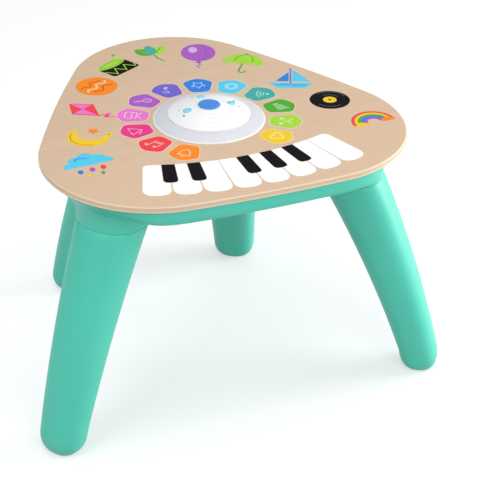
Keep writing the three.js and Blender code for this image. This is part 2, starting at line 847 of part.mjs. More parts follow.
function speakerCone() {
  const rim = speakerRadius - cupWall - clearance;
  const high = speakerSeat + speakerFlange;
  const wall = speakerConeWall;
  const foot = coneFootRadius + clearance;
  const low = speakerSeat - speakerConeDepth + speakerFrameWall + clearance;
  const [capShare, coilShare] = coneShares;
  const profile = [
    [0, low + wall],
    [foot * capShare, low + wall],
    [foot, low + wall],
    [rim - wall, high],
    [rim, high + wall],
    [rim - 2 * wall, high + wall],
    [foot * coilShare, low + 2 * wall],
    [foot * capShare, low + 3 * wall],
    [0, low + 4 * wall],
  ];
  return at(turned(profile, 20), 0, -speakerBack);
}

function speakerMagnet() {
  const high = speakerSeat - speakerConeDepth;
  return at(disc(magnetRadius, high - magnetHeight, high, 20), 0, -speakerBack);
}

// Touch sensing sheet glued under the wood: a ring below the pads and a fan below the keyboard
function touchFilm() {
  const half = (whiteKeyCount / 2) * keyStep;
  const fan = new THREE.Shape();
  fan.absarc(0, keyFanBack, keyOuterRadius, -Math.PI / 2 - half, -Math.PI / 2 + half, false);
  fan.absarc(0, keyFanBack, keyInnerRadius - keyBackCorner, -Math.PI / 2 + half, -Math.PI / 2 - half, true);
  const low = woodUnder - filmThickness;
  const sheet = join(slab(fan, low, woodUnder), disc(padOuterRadius, low, woodUnder, 36));
  const [from, to] = [low - overrun, woodUnder + overrun];
  const posts = topScrewPlaces.map(([x, y]) => at(disc(bossRadius + looseFit, from, to, 10), x, y));
  return cut(sheet, disc(padInnerRadius - padCorner, from, to, 36), ...posts);
}

// A round lead along a smooth route
function lead(points, radius) {
  const section = new THREE.Shape();
  section.absarc(0, 0, radius, 0, 2 * Math.PI);
  const route = new THREE.CatmullRomCurve3(points.map(([x, y, z]) => new THREE.Vector3(x, y, z)));
  const settings = { steps: 10, curveSegments: 3, bevelEnabled: false, extrudePath: route };
  return new THREE.ExtrudeGeometry(section, settings);
}

function batteryLead() {
  const caseFront = caseReach - caseInnerWidth / 2 - caseWall;
  const inside = cupInner - bossRadius;
  const route = lead(
    [
      [0, caseFront - clearance, leadHeight],
      [0, (caseFront + moduleHoleRadius) / 2, leadHeight],
      [0, cupInner, leadHeight],
      [0, inside, leadHeight + leadRadius],
      [0, inside - leadRadius, boardLow - 3 * leadRadius],
      [0, inside - leadRadius, boardLow - looseFit],
    ],
    leadRadius,
  );
  return toCase(route);
}

function batteryCase() {
  const outerWidth = caseInnerLength + 2 * caseWall;
  const outerDepth = caseInnerWidth + 2 * caseWall;
  const body = block(outerWidth, outerDepth, caseLow, caseTop);
  const hollow = block(caseInnerLength, caseInnerWidth, caseLow - overrun, caseTop - caseWall);
  return cut(toCase(at(body, 0, caseReach)), toCase(at(hollow, 0, caseReach)), ...hingeEars(clearance));
}

const cellOffset = (i) => (i - (cellCount - 1) / 2) * (2 * cellRadius + cellGap);
const cellTurn = (i) => (i % 2 ? Math.PI : 0);
const cellShift = caseInnerLength / 2 - plateThickness - 2 * clearance - cellLength / 2 - cellNubLength;

function battery(i) {
  const end = cellLength / 2;
  const profile = [
    [0, -end],
    [cellRadius, -end],
    [cellRadius, end],
    [cellNubRadius, end],
    [cellNubRadius, end + cellNubLength],
    [0, end + cellNubLength],
  ];
  const cell = turned(profile, 14).rotateY(Math.PI / 2).translate(cellShift, 0, 0).rotateZ(cellTurn(i));
  return toCase(cell.translate(0, caseReach + cellOffset(i), cellCentreZ));
}

// One strip of metal at each end of the case, with a conical spring where a cell's flat end meets it
function contactStrip(side) {
  const inner = caseInnerLength / 2;
  const height = 2 * cellRadius - cellGap;
  const tip = caseInnerLength / 2 - plateThickness - clearance - (cellLength / 2 - cellShift);
  const strip = new THREE.BoxGeometry(plateThickness, caseInnerWidth - 2 * cellGap, height)
    .translate(side * (inner - plateThickness / 2 - clearance / 2), caseReach, cellCentreZ);
  const springs = [];
  for (let i = 0; i < cellCount; i++) {
    if (Math.cos(cellTurn(i)) * side > 0) continue;
    const base = cellRadius * springShare;
    const foot = -plateThickness;
    const profile = [[0, foot], [base, foot], [base, 0], [cellNubRadius, tip], [0, tip]];
    const cone = turned(profile, 12).rotateY((-side * Math.PI) / 2);
    springs.push(cone.translate(side * (inner - plateThickness), caseReach + cellOffset(i), cellCentreZ));
  }
  return join(...[strip, ...springs].map(toCase));
}

function batteryDoor() {
  const width = caseInnerLength - 2 * doorGap;
  const depthLow = doorHinge.y;
  const depthHigh = doorBack - doorGap;
  const panel = block(width, depthHigh - depthLow, baseFloorLow, baseFloorLow + doorThickness)
    .translate(0, (depthLow + depthHigh) / 2, 0);
  const barrel = onHinge(doorBarrelRadius, width / 2 - 2 * doorGap, 16);
  const pin = onHinge(doorPinRadius, (caseInnerLength + hingePadLength) / 2 - clearance, 12);
  const hole = screwHole(0, doorScrewY, baseFloorLow - overrun, baseFloorTop + overrun);
  return cut(join(...[panel, barrel, pin].map(toCase)), toCase(hole));
}

function batteryDoorScrew() {
  return toCase(screwUp(0, doorScrewY, baseFloorLow - screwHeadHeight - clearance, doorPostHeight));
}

function switchBody() {
  const high = baseFloorTop + switchHeight;
  const body = at(block(switchLength, switchWidth, baseFloorTop, high), switchX, switchY);
  return cut(body, knobSlot(baseFloorTop - overrun, baseFloorTop + switchHeight / 2));
}

function switchKnob() {
  const shape = roundedRectangle(knobLength, knobWidth, knobCorner);
  const high = baseFloorTop + switchHeight / 2 - clearance;
  return at(slab(shape, baseFloorLow - knobProud, high, knobEdge, 2), switchX, switchY);
}

// Printed keys: each is drawn pointing along -Y from the keyboard's back edge, then turned round the fan
function keyShape(startRadius, length, widthShare, corner, backCorners) {
  const width = (radius) => (radius * keyStep * widthShare - keyGap) / 2;
  const [back, front] = [-startRadius, -(startRadius + length)];
  const [wBack, wFront] = [width(startRadius), width(startRadius + length - corner)];
  const shape = new THREE.Shape();
  shape.moveTo(-wBack, back - backCorners[0]);
  shape.lineTo(-wFront, front + corner);
  shape.quadraticCurveTo(-wFront, front, corner - wFront, front);
  shape.lineTo(wFront - corner, front);
  shape.quadraticCurveTo(wFront, front, wFront, front + corner);
  shape.lineTo(wBack, back - backCorners[1]);
  shape.quadraticCurveTo(wBack, back, wBack - backCorners[1], back);
  shape.lineTo(backCorners[0] - wBack, back);
  shape.quadraticCurveTo(-wBack, back, -wBack, back - backCorners[0]);
  return shape;
}

function onFan(geometry, turn) {
  return geometry.rotateZ(turn).translate(0, keyFanBack, 0);
}

// The white keys are one print: slots from the front leave a narrow strip along the back edge
function whiteKeys() {
  const half = (radius) => (radius * keyStep - keyGap) / 2;
  const [backHalf, frontHalf] = [half(keyInnerRadius), half(keyOuterRadius - keyCornerRadius)];
  const front = -keyOuterRadius;
  const slotEnd = -(keyInnerRadius + keyStrip);
  const roundEnd = -(keyInnerRadius + keyBackCorner);
  const shape = new THREE.Shape();
  const fan = new THREE.Vector2();
  for (let i = 0; i < whiteKeyCount; i++) {
    const turn = (i - (whiteKeyCount - 1) / 2) * keyStep;
    const place = (x, y) => new THREE.Vector2(x, y).rotateAround(fan, turn).toArray();
    const start = place(-backHalf, i === 0 ? roundEnd : slotEnd);
    if (i === 0) shape.moveTo(...start);
    else shape.lineTo(...start);
    shape.lineTo(...place(-frontHalf, front + keyCornerRadius));
    shape.quadraticCurveTo(...place(-frontHalf, front), ...place(keyCornerRadius - frontHalf, front));
    shape.lineTo(...place(frontHalf - keyCornerRadius, front));
    shape.quadraticCurveTo(...place(frontHalf, front), ...place(frontHalf, front + keyCornerRadius));
    shape.lineTo(...place(backHalf, i === whiteKeyCount - 1 ? roundEnd : slotEnd));
  }
  const side = ((whiteKeyCount - 1) / 2) * keyStep;
  const corner = (sign, x, y) => new THREE.Vector2(sign * x, y).rotateAround(fan, sign * side).toArray();
  const back = -keyInnerRadius;
  shape.quadraticCurveTo(...corner(1, backHalf, back), ...corner(1, backHalf - keyBackCorner, back));
  for (let i = whiteKeyCount - 1; i >= 1; i--) {
    const turn = (i - whiteKeyCount / 2) * keyStep;
    shape.lineTo(...new THREE.Vector2(0, back).rotateAround(fan, turn).toArray());
  }
  shape.lineTo(...corner(-1, backHalf - keyBackCorner, back));
  shape.quadraticCurveTo(...corner(-1, backHalf, back), ...corner(-1, backHalf, roundEnd));
  return slab(shape, surfaceHeight, surfaceHeight + printThickness, 0, 3).translate(0, keyFanBack, 0);
}

function blackKey(after) {
  const length = (keyOuterRadius - keyInnerRadius) * blackLengthShare;
  const shape = keyShape(keyInnerRadius, length, blackWidthShare, blackCorner, [keyGap, keyGap]);
  const low = surfaceHeight + printThickness;
  return onFan(slab(shape, low, low + printThickness, 0, 3), (after - whiteKeyCount / 2) * keyStep);
}

// A petal-shaped pad pointing along +X, narrow end towards the module
function padShape() {
  const [inner, outer] = [padInnerRadius, padOuterRadius];
  const [near, wide] = [padInnerHalf, padOuterHalf];
  const shoulder = outer - 2 * padCorner;
  const [half, slight] = [padCorner / 2, padCorner / 4];
  const shape = new THREE.Shape();
  shape.moveTo(inner + padCorner, near + slight);
  shape.quadraticCurveTo(inner, near, inner, near - padCorner);
  shape.lineTo(inner, padCorner - near);
  shape.quadraticCurveTo(inner, -near, inner + padCorner, -near - slight);
  shape.lineTo(shoulder - half, slight - wide);
  shape.quadraticCurveTo(shoulder + half, -wide, shoulder + padCorner, padCorner - wide);
  shape.quadraticCurveTo(outer, -padCorner, outer, 0);
  shape.quadraticCurveTo(outer, padCorner, shoulder + padCorner, wide - padCorner);
  shape.quadraticCurveTo(shoulder + half, wide, shoulder - half, wide - slight);
  shape.closePath();
  return shape;
}

function touchPad(i) {
  const start = -Math.PI / 2 - 1.5 * padStep;
  return slab(padShape(), surfaceHeight, surfaceHeight + printThickness, 0, 3).rotateZ(start - i * padStep);
}

// Everything together
addPart("table_top", tableTop(), "plywood");
addPart("base_shell", baseShell(), "teal");
legPlaces.forEach((place) => {
  const stand = new THREE.Group();
  stand.rotation.z = place.turn;
  stand.position.set(place.radius * Math.cos(place.turn), place.radius * Math.sin(place.turn), 0);
  root.add(stand);
  addPart(`leg_${place.name}`, legShell(), "teal", stand);
  addPart(`leg_screw_${place.name}`, legScrew(), "steel", stand);
});
topScrewPlaces.forEach(([x, y], i) => {
  addPart(`top_screw_${i + 1}`, screwUp(x, y, topScrewHead, topScrewLength), "steel");
});
addPart("module_housing", moduleHousing(), "white");
addPart("light_ring", lightRing(), "ring");
addPart("dome_cap", domeCap(), "white");
buttonPlaces.forEach((place) => addPart(place.name, button(place), place.finish));
addPart("speaker_frame", speakerFrame(), "charcoal");
addPart("speaker_cone", speakerCone(), "paper");
addPart("speaker_magnet", speakerMagnet(), "steel");
addPart("main_board", mainBoard(), "circuit");
modulePlaces.forEach(([x, y], i) => {
  addPart(`module_screw_${i + 1}`, screwUp(x, y, moduleScrewHead, moduleScrewLength), "steel");
});
addPart("touch_film", touchFilm(), "film");
addPart("battery_case", batteryCase(), "charcoal");
for (let i = 0; i < cellCount; i++) addPart(`battery_${i + 1}`, battery(i), "cell");
addPart("battery_contact_left", contactStrip(-1), "steel");
addPart("battery_contact_right", contactStrip(1), "steel");
addPart("battery_lead", batteryLead(), "lead");
addPart("battery_door", batteryDoor(), "teal");
addPart("battery_door_screw", batteryDoorScrew(), "steel");
addPart("switch_body", switchBody(), "charcoal");
addPart("switch_knob", switchKnob(), "charcoal");
addPart("white_keys", whiteKeys(), "keyWhite");
blackKeyAfter.forEach((after, i) => addPart(`black_key_${i + 1}`, blackKey(after), "keyBlack"));
for (let i = 0; i < padCount; i++) addPart(`touch_pad_${i + 1}`, touchPad(i), padColours[i]);

// The keyboard side and the back corner lie equally far from the frame's origin
root.children.forEach((child) => {
  child.position.y -= (topFront + topBack) / 2;
});

export default root;
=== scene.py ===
from math import atan2, copysign, cos, degrees, hypot, pi, radians, sin, sqrt

import bmesh
import bpy
from mathutils import Matrix, Vector


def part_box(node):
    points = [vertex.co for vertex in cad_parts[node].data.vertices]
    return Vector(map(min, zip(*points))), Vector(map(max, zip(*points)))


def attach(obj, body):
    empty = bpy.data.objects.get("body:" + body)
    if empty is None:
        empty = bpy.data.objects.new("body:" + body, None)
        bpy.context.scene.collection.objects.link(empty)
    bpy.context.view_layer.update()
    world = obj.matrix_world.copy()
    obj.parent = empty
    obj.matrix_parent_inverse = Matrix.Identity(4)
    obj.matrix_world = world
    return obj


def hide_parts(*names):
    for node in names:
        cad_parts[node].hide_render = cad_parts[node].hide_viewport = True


# Musical activity table: plywood top with printed keys and pads round a domed control module, on a
# moulded base with four plug-in legs. Metres, keyboard towards -Y, floor at zero.

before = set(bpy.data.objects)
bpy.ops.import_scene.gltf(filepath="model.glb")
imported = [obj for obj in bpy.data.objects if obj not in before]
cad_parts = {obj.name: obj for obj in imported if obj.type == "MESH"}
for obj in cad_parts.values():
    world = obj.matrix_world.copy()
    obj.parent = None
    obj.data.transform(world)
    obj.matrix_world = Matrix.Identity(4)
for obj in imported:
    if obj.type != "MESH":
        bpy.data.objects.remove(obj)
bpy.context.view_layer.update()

MM = 0.001

# The wooden top: three corner arcs joined by three long, nearly straight ones
TOP_CENTRE_Y = -31.695 * MM
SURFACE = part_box("table_top")[1].z
WOOD_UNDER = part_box("table_top")[0].z
CORNERS = [
    (-93 * MM, -57 * MM, 142 * MM),
    (93 * MM, -57 * MM, 142 * MM),
    (0, 130 * MM, 135 * MM),
]
SIDE_RADIUS = 1800 * MM
WOOD_ROUND = 2.6 * MM
BELOW_WOOD, ABOVE_WOOD = 330 * MM, 360 * MM
MODULE = (0, TOP_CENTRE_Y)
MODULE_HOLE = 66 * MM
SCREW_HOLE = 2 * MM

# The photograph's camera, in the frame of the object
CAMERA_PLACE = Vector((-0.6672, -1.7384, 1.2668))
CAMERA_TURN = radians(-23.06)
CAMERA_RISE = radians(31.24)
CAMERA_ROLL = radians(0.95)
CAMERA_LENS = 115.9

# Colours as they look, in red, green and blue from 0 to 255
COLOURS = {
    "wood": (212, 183, 154),
    "wood_dark": (196, 162, 130),
    "ply_light": (246, 226, 196),
    "ply_dark": (226, 192, 160),
    "teal": (82, 208, 184),
    "white": (236, 237, 238),
    "ring": (211, 212, 218),
    "blue": (58, 132, 216),
    "aqua": (120, 212, 230),
    "steel": (190, 193, 198),
    "circuit": (32, 108, 62),
    "charcoal": (40, 42, 46),
    "paper": (56, 56, 58),
    "film": (200, 164, 92),
    "cell": (80, 128, 92),
    "lead": (178, 54, 46),
    "key_white": (252, 252, 250),
    "key_black": (16, 13, 19),
    "key_rim": (214, 192, 164),
    "pad_rim": (238, 217, 196),
    "grey": (96, 98, 104),
    "deep_orange": (214, 96, 20),
    "orange": (240, 133, 25),
    "red": (234, 62, 72),
    "magenta": (226, 52, 134),
    "pink": (226, 118, 198),
    "purple": (164, 88, 186),
    "indigo": (108, 96, 196),
    "royal": (46, 124, 212),
    "cyan": (82, 196, 226),
    "sea": (62, 166, 158),
    "green": (78, 164, 50),
    "lime": (160, 208, 60),
    "yellow": (232, 196, 42),
}
PAD_COLOURS = [
    "orange", "red", "magenta", "pink", "purple", "indigo",
    "royal", "cyan", "sea", "green", "lime", "yellow",
]


def linear(name):
    """A colour's name as the linear values that shaders take."""
    channels = []
    for value in COLOURS[name]:
        c = value / 255
        channels.append(c / 12.92 if c <= 0.04045 else ((c + 0.055) / 1.055) ** 2.4)
    return (*channels, 1)


# Materials


class Tree:
    """A node tree, with short ways to add and link its nodes."""

    def __init__(self, tree):
        self.nodes = tree.nodes
        self.links = tree.links

    def add(self, kind, **settings):
        """A new node. Each setting is the value of an input, or else of a property."""
        node = self.nodes.new(kind)
        for key, value in settings.items():
            if key in node.inputs:
                node.inputs[key].default_value = value
            else:
                setattr(node, key, value)
        return node

    def link(self, start, end):
        self.links.new(start, end)

    def either_ray(self, first, second):
        """One for rays of either kind, and zero for all others."""
        rays = self.add("ShaderNodeLightPath")
        either = self.add("ShaderNodeMath", operation="MAXIMUM")
        self.link(rays.outputs[first], either.inputs[0])
        self.link(rays.outputs[second], either.inputs[1])
        return either.outputs[0]

    def blend(self, share, first, second):
        """Two shaders blended, the second by its share."""
        blend = self.add("ShaderNodeMixShader")
        for i, start in enumerate((share, first, second)):
            self.link(start, blend.inputs[i])
        return blend.outputs[0]


class Finish(Tree):
    """A material and the patterns of its surface."""

    def __init__(self, name, roughness=0.5, metallic=0):
        self.material = bpy.data.materials.new(name)
        self.material.use_nodes = True
        super().__init__(self.material.node_tree)
        self.shader = self.nodes["Principled BSDF"]
        self.shader.inputs["Roughness"].default_value = roughness
        self.shader.inputs["Metallic"].default_value = metallic

    def noise(self, stretch, scale, detail, roughness=0.5):
        """Noise on stretched object coordinates."""
        noise = self.add("ShaderNodeTexNoise", Scale=scale, Detail=detail, Roughness=roughness)
        self.link(self.place(stretch), noise.inputs["Vector"])
        return noise.outputs["Fac"]

    def place(self, stretch):
        coordinates = self.add("ShaderNodeTexCoord")
        mapping = self.add("ShaderNodeMapping", Scale=stretch)
        self.link(coordinates.outputs["Object"], mapping.inputs["Vector"])
        return mapping.outputs["Vector"]

    def ramp(self, fac, stops, interpolation="LINEAR"):
        ramp = self.add("ShaderNodeValToRGB")
        ramp.color_ramp.interpolation = interpolation
        elements = ramp.color_ramp.elements
        while len(elements) < len(stops):
            elements.new(0.5)
        for element, (position, colour) in zip(elements, stops):
            element.position = position
            element.color = colour
        self.link(fac, ramp.inputs["Fac"])
        return ramp.outputs["Color"]

    def mix(self, fac, a, b, blend="MIX"):
        mix = self.add("ShaderNodeMix", data_type="RGBA", blend_type=blend)
        for socket, value in ((mix.inputs[0], fac), (mix.inputs[6], a), (mix.inputs[7], b)):
            if hasattr(value, "is_linked"):
                self.link(value, socket)
            else:
                socket.default_value = value
        return mix.outputs[2]

    def bump(self, height, strength, distance):
        bump = self.add("ShaderNodeBump", Strength=strength, Distance=distance)
        self.link(height, bump.inputs["Height"])
        self.link(bump.outputs["Normal"], self.shader.inputs["Normal"])

    def vary_roughness(self, fac, low, high):
        spread = self.add("ShaderNodeMapRange")
        spread.inputs["To Min"].default_value = low
        spread.inputs["To Max"].default_value = high
        self.link(fac, spread.inputs["Value"])
        self.link(spread.outputs["Result"], self.shader.inputs["Roughness"])


def shade(colour, share):
    """The colour made darker below one, or lighter above it."""
    return (*[min(1, c * share) for c in colour[:3]], 1)


EVEN = (1, 1, 1)
BLACK = (0, 0, 0, 1)
WHITE = (1, 1, 1, 1)


def drifting(name, colour, drift, shades, rough, relief, fine=None, stops=(0.3, 0.7), metallic=0, extra=None):
    """
    A colour that drifts between two shades of itself. The roughness and the relief follow a finer
    noise, or else the same one. A noise is given by its stretch, scale and detail.
    """
    finish = Finish(name, metallic=metallic)
    base = linear(colour)
    noise = finish.noise(*drift)
    tint = finish.ramp(noise, [(stop, shade(base, share)) for stop, share in zip(stops, shades)])
    finish.link(tint, finish.shader.inputs["Base Color"])
    if fine:
        noise = finish.noise(*fine)
    finish.vary_roughness(noise, *rough)
    finish.bump(noise, *relief)
    for key, value in (extra or {}).items():
        finish.shader.inputs[key].default_value = value
    return finish.material


def plastic(name, colour, roughness, grain=0.35, coat=0.0):
    """Moulded plastic: slow colour drift, fine spark-eroded grain."""
    return drifting(
        name, colour, (EVEN, 9, 2), (0.97, 1.03), (roughness - 0.05, roughness + 0.07), (grain, 0.00004),
        (EVEN, 2600, 2), extra={"Coat Weight": coat, "Coat Roughness": 0.12},
    )


def ink(name, colour, roughness=0.5, gloss=0.2):
    """Screen print: even colour that lets a little of the wood's figure through."""
    return drifting(
        name, colour, ((6, 60, 60), 9, 4), (0.965, 1.03), (roughness - 0.06, roughness + 0.06),
        (0.2, 0.00003), ((20, 400, 400), 6, 3), (0.25, 0.75), extra={"Specular IOR Level": gloss},
    )


def tinted_ink(name, colour, white):
    """The ink of a colour with a share of white in it."""
    brightest = 252
    COLOURS[name] = tuple(round(c + (brightest - c) * white) for c in COLOURS[colour])
    return ink(name, name)


def plywood():
    """Pale veneer on the faces, light and dark plies round the edge."""
    finish = Finish("lacquered_plywood")
    light, dark = linear("wood"), linear("wood_dark")
    broad = finish.noise((3, 22, 1), 2.4, 4, 0.6)
    veneer = finish.ramp(broad, [(0.3, shade(light, 0.975)), (0.7, shade(light, 1.025))])
    lines = finish.noise((7, 320, 1), 4, 5, 0.65)
    line_tone = finish.ramp(lines, [(0.44, BLACK), (0.7, (0.45, 0.45, 0.45, 1))])
    grained = finish.mix(line_tone, veneer, dark)
    pores = finish.add("ShaderNodeTexVoronoi", Scale=1.0)
    finish.link(finish.place((120, 1500, 1)), pores.inputs["Vector"])
    pore_tone = finish.ramp(pores.outputs["Distance"], [(0.05, WHITE), (0.16, BLACK)])
    pore_share = finish.mix(0.32, BLACK, pore_tone)
    face = finish.mix(pore_share, grained, shade(dark, 0.72))

    coordinates = finish.add("ShaderNodeTexCoord")
    split = finish.add("ShaderNodeSeparateXYZ")
    finish.link(coordinates.outputs["Object"], split.inputs[0])
    height = finish.add("ShaderNodeMapRange")
    height.inputs["From Min"].default_value = WOOD_UNDER
    height.inputs["From Max"].default_value = SURFACE
    finish.link(split.outputs["Z"], height.inputs["Value"])
    pale, tan = linear("ply_light"), linear("ply_dark")
    layers = [(0, pale), (0.4, tan), (0.52, shade(tan, 1.1)), (0.64, tan), (0.84, shade(pale, 0.9))]
    plies = finish.ramp(height.outputs["Result"], layers, "CONSTANT")
    ply_grain = finish.noise((60, 60, 900), 3, 4)
    edge_tone = finish.ramp(ply_grain, [(0.3, (0.93, 0.93, 0.93, 1)), (0.7, WHITE)])
    edge = finish.mix(1.0, plies, edge_tone, "MULTIPLY")

    geometry = finish.add("ShaderNodeNewGeometry")
    normal = finish.add("ShaderNodeSeparateXYZ")
    finish.link(geometry.outputs["Normal"], normal.inputs[0])
    flat = finish.add("ShaderNodeMath", operation="ABSOLUTE")
    finish.link(normal.outputs["Z"], flat.inputs[0])
    side = finish.ramp(flat.outputs[0], [(0.72, WHITE), (0.93, BLACK)])
    finish.link(finish.mix(side, face, edge), finish.shader.inputs["Base Color"])
    finish.vary_roughness(lines, 0.42, 0.56)
    finish.bump(lines, 0.25, 0.00006)
    finish.shader.inputs["Coat Weight"].default_value = 0.12
    finish.shader.inputs["Coat Roughness"].default_value = 0.3
    return finish.material


teal = plastic("teal_plastic", "teal", 0.42)
white_plastic = plastic("white_plastic", "white", 0.38, 0.2)
# The light ring's diffusing plastic
ring_plastic = drifting(
    "milky_ring", "ring", (EVEN, 14, 2), (0.985, 1.015), (0.3, 0.4), (0.2, 0.00003), (EVEN, 1800, 2),
    extra={"Subsurface Weight": 0.25, "Subsurface Scale": 0.004},
)
blue_plastic = plastic("blue_plastic", "blue", 0.28, 0.1, 0.3)
aqua_plastic = plastic("aqua_plastic", "aqua", 0.26, 0.1, 0.3)
charcoal = plastic("charcoal_plastic", "charcoal", 0.55, 0.6)
wood = plywood()
steel = drifting(
    "zinc_steel", "steel", ((1, 1, 30), 220, 3), (0.85, 1.05), (0.24, 0.42), (0.15, 0.00003), metallic=1
)
circuit = plastic("solder_resist", "circuit", 0.4, 0.3)
paper = drifting("pressed_paper", "paper", (EVEN, 900, 5), (0.8, 1.15), (0.85, 0.95), (0.5, 0.0001))
sensing = plastic("sensing_film", "film", 0.5, 0.2)
cell = plastic("cell_sleeve", "cell", 0.3, 0.1, 0.2)
sleeve = plastic("lead_sleeve", "lead", 0.55, 0.2)
key_white = ink("key_white_ink", "key_white", 0.42)
key_black = ink("key_black_ink", "key_black", 0.5, 0.06)
pad_inks = [ink(f"{name}_ink", name) for name in PAD_COLOURS]
pale_inks = [tinted_ink(f"pale_{name}_ink", name, 0.62) for name in PAD_COLOURS]
key_rim = ink("key_border_ink", "key_rim")
pad_rim = ink("pad_border_ink", "pad_rim")
motif_inks = {name: pad_inks[i] for i, name in enumerate(PAD_COLOURS)}
motif_inks["black"] = key_black
motif_inks["grey"] = ink("grey_ink", "grey")
motif_inks["pale_orange"] = tinted_ink("pale_orange_motif_ink", "orange", 0.45)
motif_inks["deep_orange"] = ink("deep_orange_ink", "deep_orange")
motif_inks["pale_purple"] = tinted_ink("pale_purple_motif_ink", "purple", 0.5)
PAD_SLOTS = [{"royal": "blue", "sea": "teal"}.get(name, name) for name in PAD_COLOURS]
MOTIF_SLOTS = {name: f"print_{slot}" for name, slot in zip(PAD_COLOURS, PAD_SLOTS)}
MOTIF_SLOTS |= {"black": "print_black", "grey": "print_black", "pale_orange": "print_orange"}
MOTIF_SLOTS |= {"deep_orange": "print_orange", "pale_purple": "print_purple"}

# Looks of the CAD's own nodes: the first of these words that a node's name holds gives its look
CARRIED = {
    "screw": steel, "contact": steel, "magnet": steel, "table_top": wood,
    "base_shell": teal, "door": teal, "leg_": teal,
    "housing": white_plastic, "cap": white_plastic, "light_ring": ring_plastic,
    "centre_button": blue_plastic, "button": aqua_plastic,
    "frame": charcoal, "case": charcoal, "switch": charcoal,
    "cone": paper, "board": circuit, "touch_film": sensing, "lead": sleeve, "battery": cell,
    "white_keys": key_white, "black_key": key_black,
}
for name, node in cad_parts.items():
    if name.startswith("touch_pad"):
        carried = pad_inks[int(name.rsplit("_", 1)[1]) - 1]
    else:
        carried = next(look for word, look in CARRIED.items() if word in name)
    node.data.materials.clear()
    node.data.materials.append(carried)


# Ways to model


def only(*pieces):
    bpy.ops.object.select_all(action="DESELECT")
    for piece in pieces:
        piece.select_set(True)
    bpy.context.view_layer.objects.active = pieces[0]


def edit(piece):
    only(piece)
    bpy.ops.object.mode_set(mode="EDIT")
    return bmesh.from_edit_mesh(piece.data)


def leave():
    bpy.ops.object.mode_set(mode="OBJECT")


# Corners closer than this become one
MERGE = 0.000002


def tidy_skin(piece):
    """Doubles merged, loose edges gone, all faces outwards."""
    edit(piece)
    bpy.ops.mesh.select_all(action="SELECT")
    bpy.ops.mesh.remove_doubles(threshold=MERGE)
    bpy.ops.mesh.delete_loose(use_verts=True, use_edges=True, use_faces=False)
    bpy.ops.mesh.select_all(action="SELECT")
    bpy.ops.mesh.normals_make_consistent(inside=False)
    leave()


def added(name, primitive, **settings):
    """A new primitive under its name, the only one selected."""
    bpy.ops.object.select_all(action="DESELECT")
    primitive(**settings)
    piece = bpy.context.object
    piece.name = name
    return piece


def circle_of(name, points, fill):
    """A circle whose corners are set down on the given points, each numbered by its station."""
    piece = added(name, bpy.ops.mesh.primitive_circle_add, vertices=len(points), radius=0.1, fill_type=fill)
    shape = edit(piece)
    station = shape.verts.layers.int.new("station")
    for i, corner in enumerate(shape.verts):
        corner[station] = i
        corner.co = points[i]
    bmesh.update_edit_mesh(piece.data)
    return piece


def loft(name, rings):
    """A filled ring extruded from one ring of places to the next."""
    piece = circle_of(name, rings[0], "NGON")
    for ring in rings[1:]:
        bpy.ops.mesh.extrude_region()
        shape = bmesh.from_edit_mesh(piece.data)
        station = shape.verts.layers.int["station"]
        for corner in shape.verts:
            if corner.select:
                corner.co = ring[corner[station]]
        bmesh.update_edit_mesh(piece.data)
    leave()
    tidy_skin(piece)
    return piece


def spun(name, profile, steps, centre):
    """A closed profile of radius and height, spun about an upright axis."""
    x, y = centre
    piece = circle_of(name, [(x + r, y, z) for r, z in profile], "NOTHING")
    bpy.ops.mesh.select_all(action="SELECT")
    bpy.ops.mesh.spin(steps=steps, angle=2 * pi, center=(x, y, 0), axis=(0, 0, 1))
    leave()
    tidy_skin(piece)
    return piece


def placed(name, primitive, **settings):
    """A new primitive whose place, turn and scale are in its mesh."""
    piece = added(name, primitive, **settings)
    bpy.ops.object.transform_apply(location=True, rotation=True, scale=True)
    return piece


def rod(name, start, end, radius, sides=24):
    """A plain round bar between two points."""
    start, end = Vector(start), Vector(end)
    turn = (end - start).to_track_quat("Z", "Y").to_euler()
    return placed(
        name, bpy.ops.mesh.primitive_cylinder_add, vertices=sides, radius=radius,
        depth=(end - start).length, location=(start + end) / 2, rotation=turn,
    )


def upright(name, x, y, low, high, radius, sides=24):
    return rod(name, (x, y, low), (x, y, high), radius, sides)


def box_between(name, low, high):
    low, high = Vector(low), Vector(high)
    return placed(name, bpy.ops.mesh.primitive_cube_add, size=1, location=(low + high) / 2, scale=high - low)


def middle_of(node):
    low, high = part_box(node)
    return (low.x + high.x) / 2, (low.y + high.y) / 2


def modify(piece, kind, **settings):
    only(piece)
    modifier = piece.modifiers.new(kind.lower(), kind)
    for key, value in settings.items():
        setattr(modifier, key, value)
    bpy.ops.object.modifier_apply(modifier=modifier.name)


def combine(piece, others, operation):
    """Joins, cuts or trims with other pieces, which are used up."""
    for other in others:
        modify(piece, "BOOLEAN", operation=operation, object=other, solver="EXACT")
        bpy.data.objects.remove(other, do_unlink=True)


def joined(name, pieces):
    only(*pieces)
    bpy.ops.object.join()
    piece = bpy.context.object
    piece.name = name
    return piece


def finish_piece(piece, finish, nodes, body="table", smooth=40):
    """Smooths, colours and seats a piece, and hides the nodes that it stands for."""
    only(piece)
    bpy.ops.object.shade_smooth_by_angle(angle=radians(smooth))
    piece.data.materials.append(finish)
    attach(piece, body)
    if nodes:
        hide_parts(*nodes)


def arc(centre, radius, start, end, steps):
    """Points along an arc between two bearings in radians, its last left out."""
    x, y = centre
    turns = [start + (end - start) * i / steps for i in range(steps)]
    return [(x + radius * cos(turn), y + radius * sin(turn)) for turn in turns]


def ellipse(x, y, wide, tall=None, start=0, end=360, steps=36):
    """Points along an ellipse, or along a stretch of it between two bearings in degrees."""
    tall = wide if tall is None else tall
    whole = abs(end - start) == 360
    count = steps if whole else steps + 1
    turns = [radians(start + (end - start) * i / steps) for i in range(count)]
    return [(x + wide * cos(turn), y + tall * sin(turn)) for turn in turns]


# The wooden top


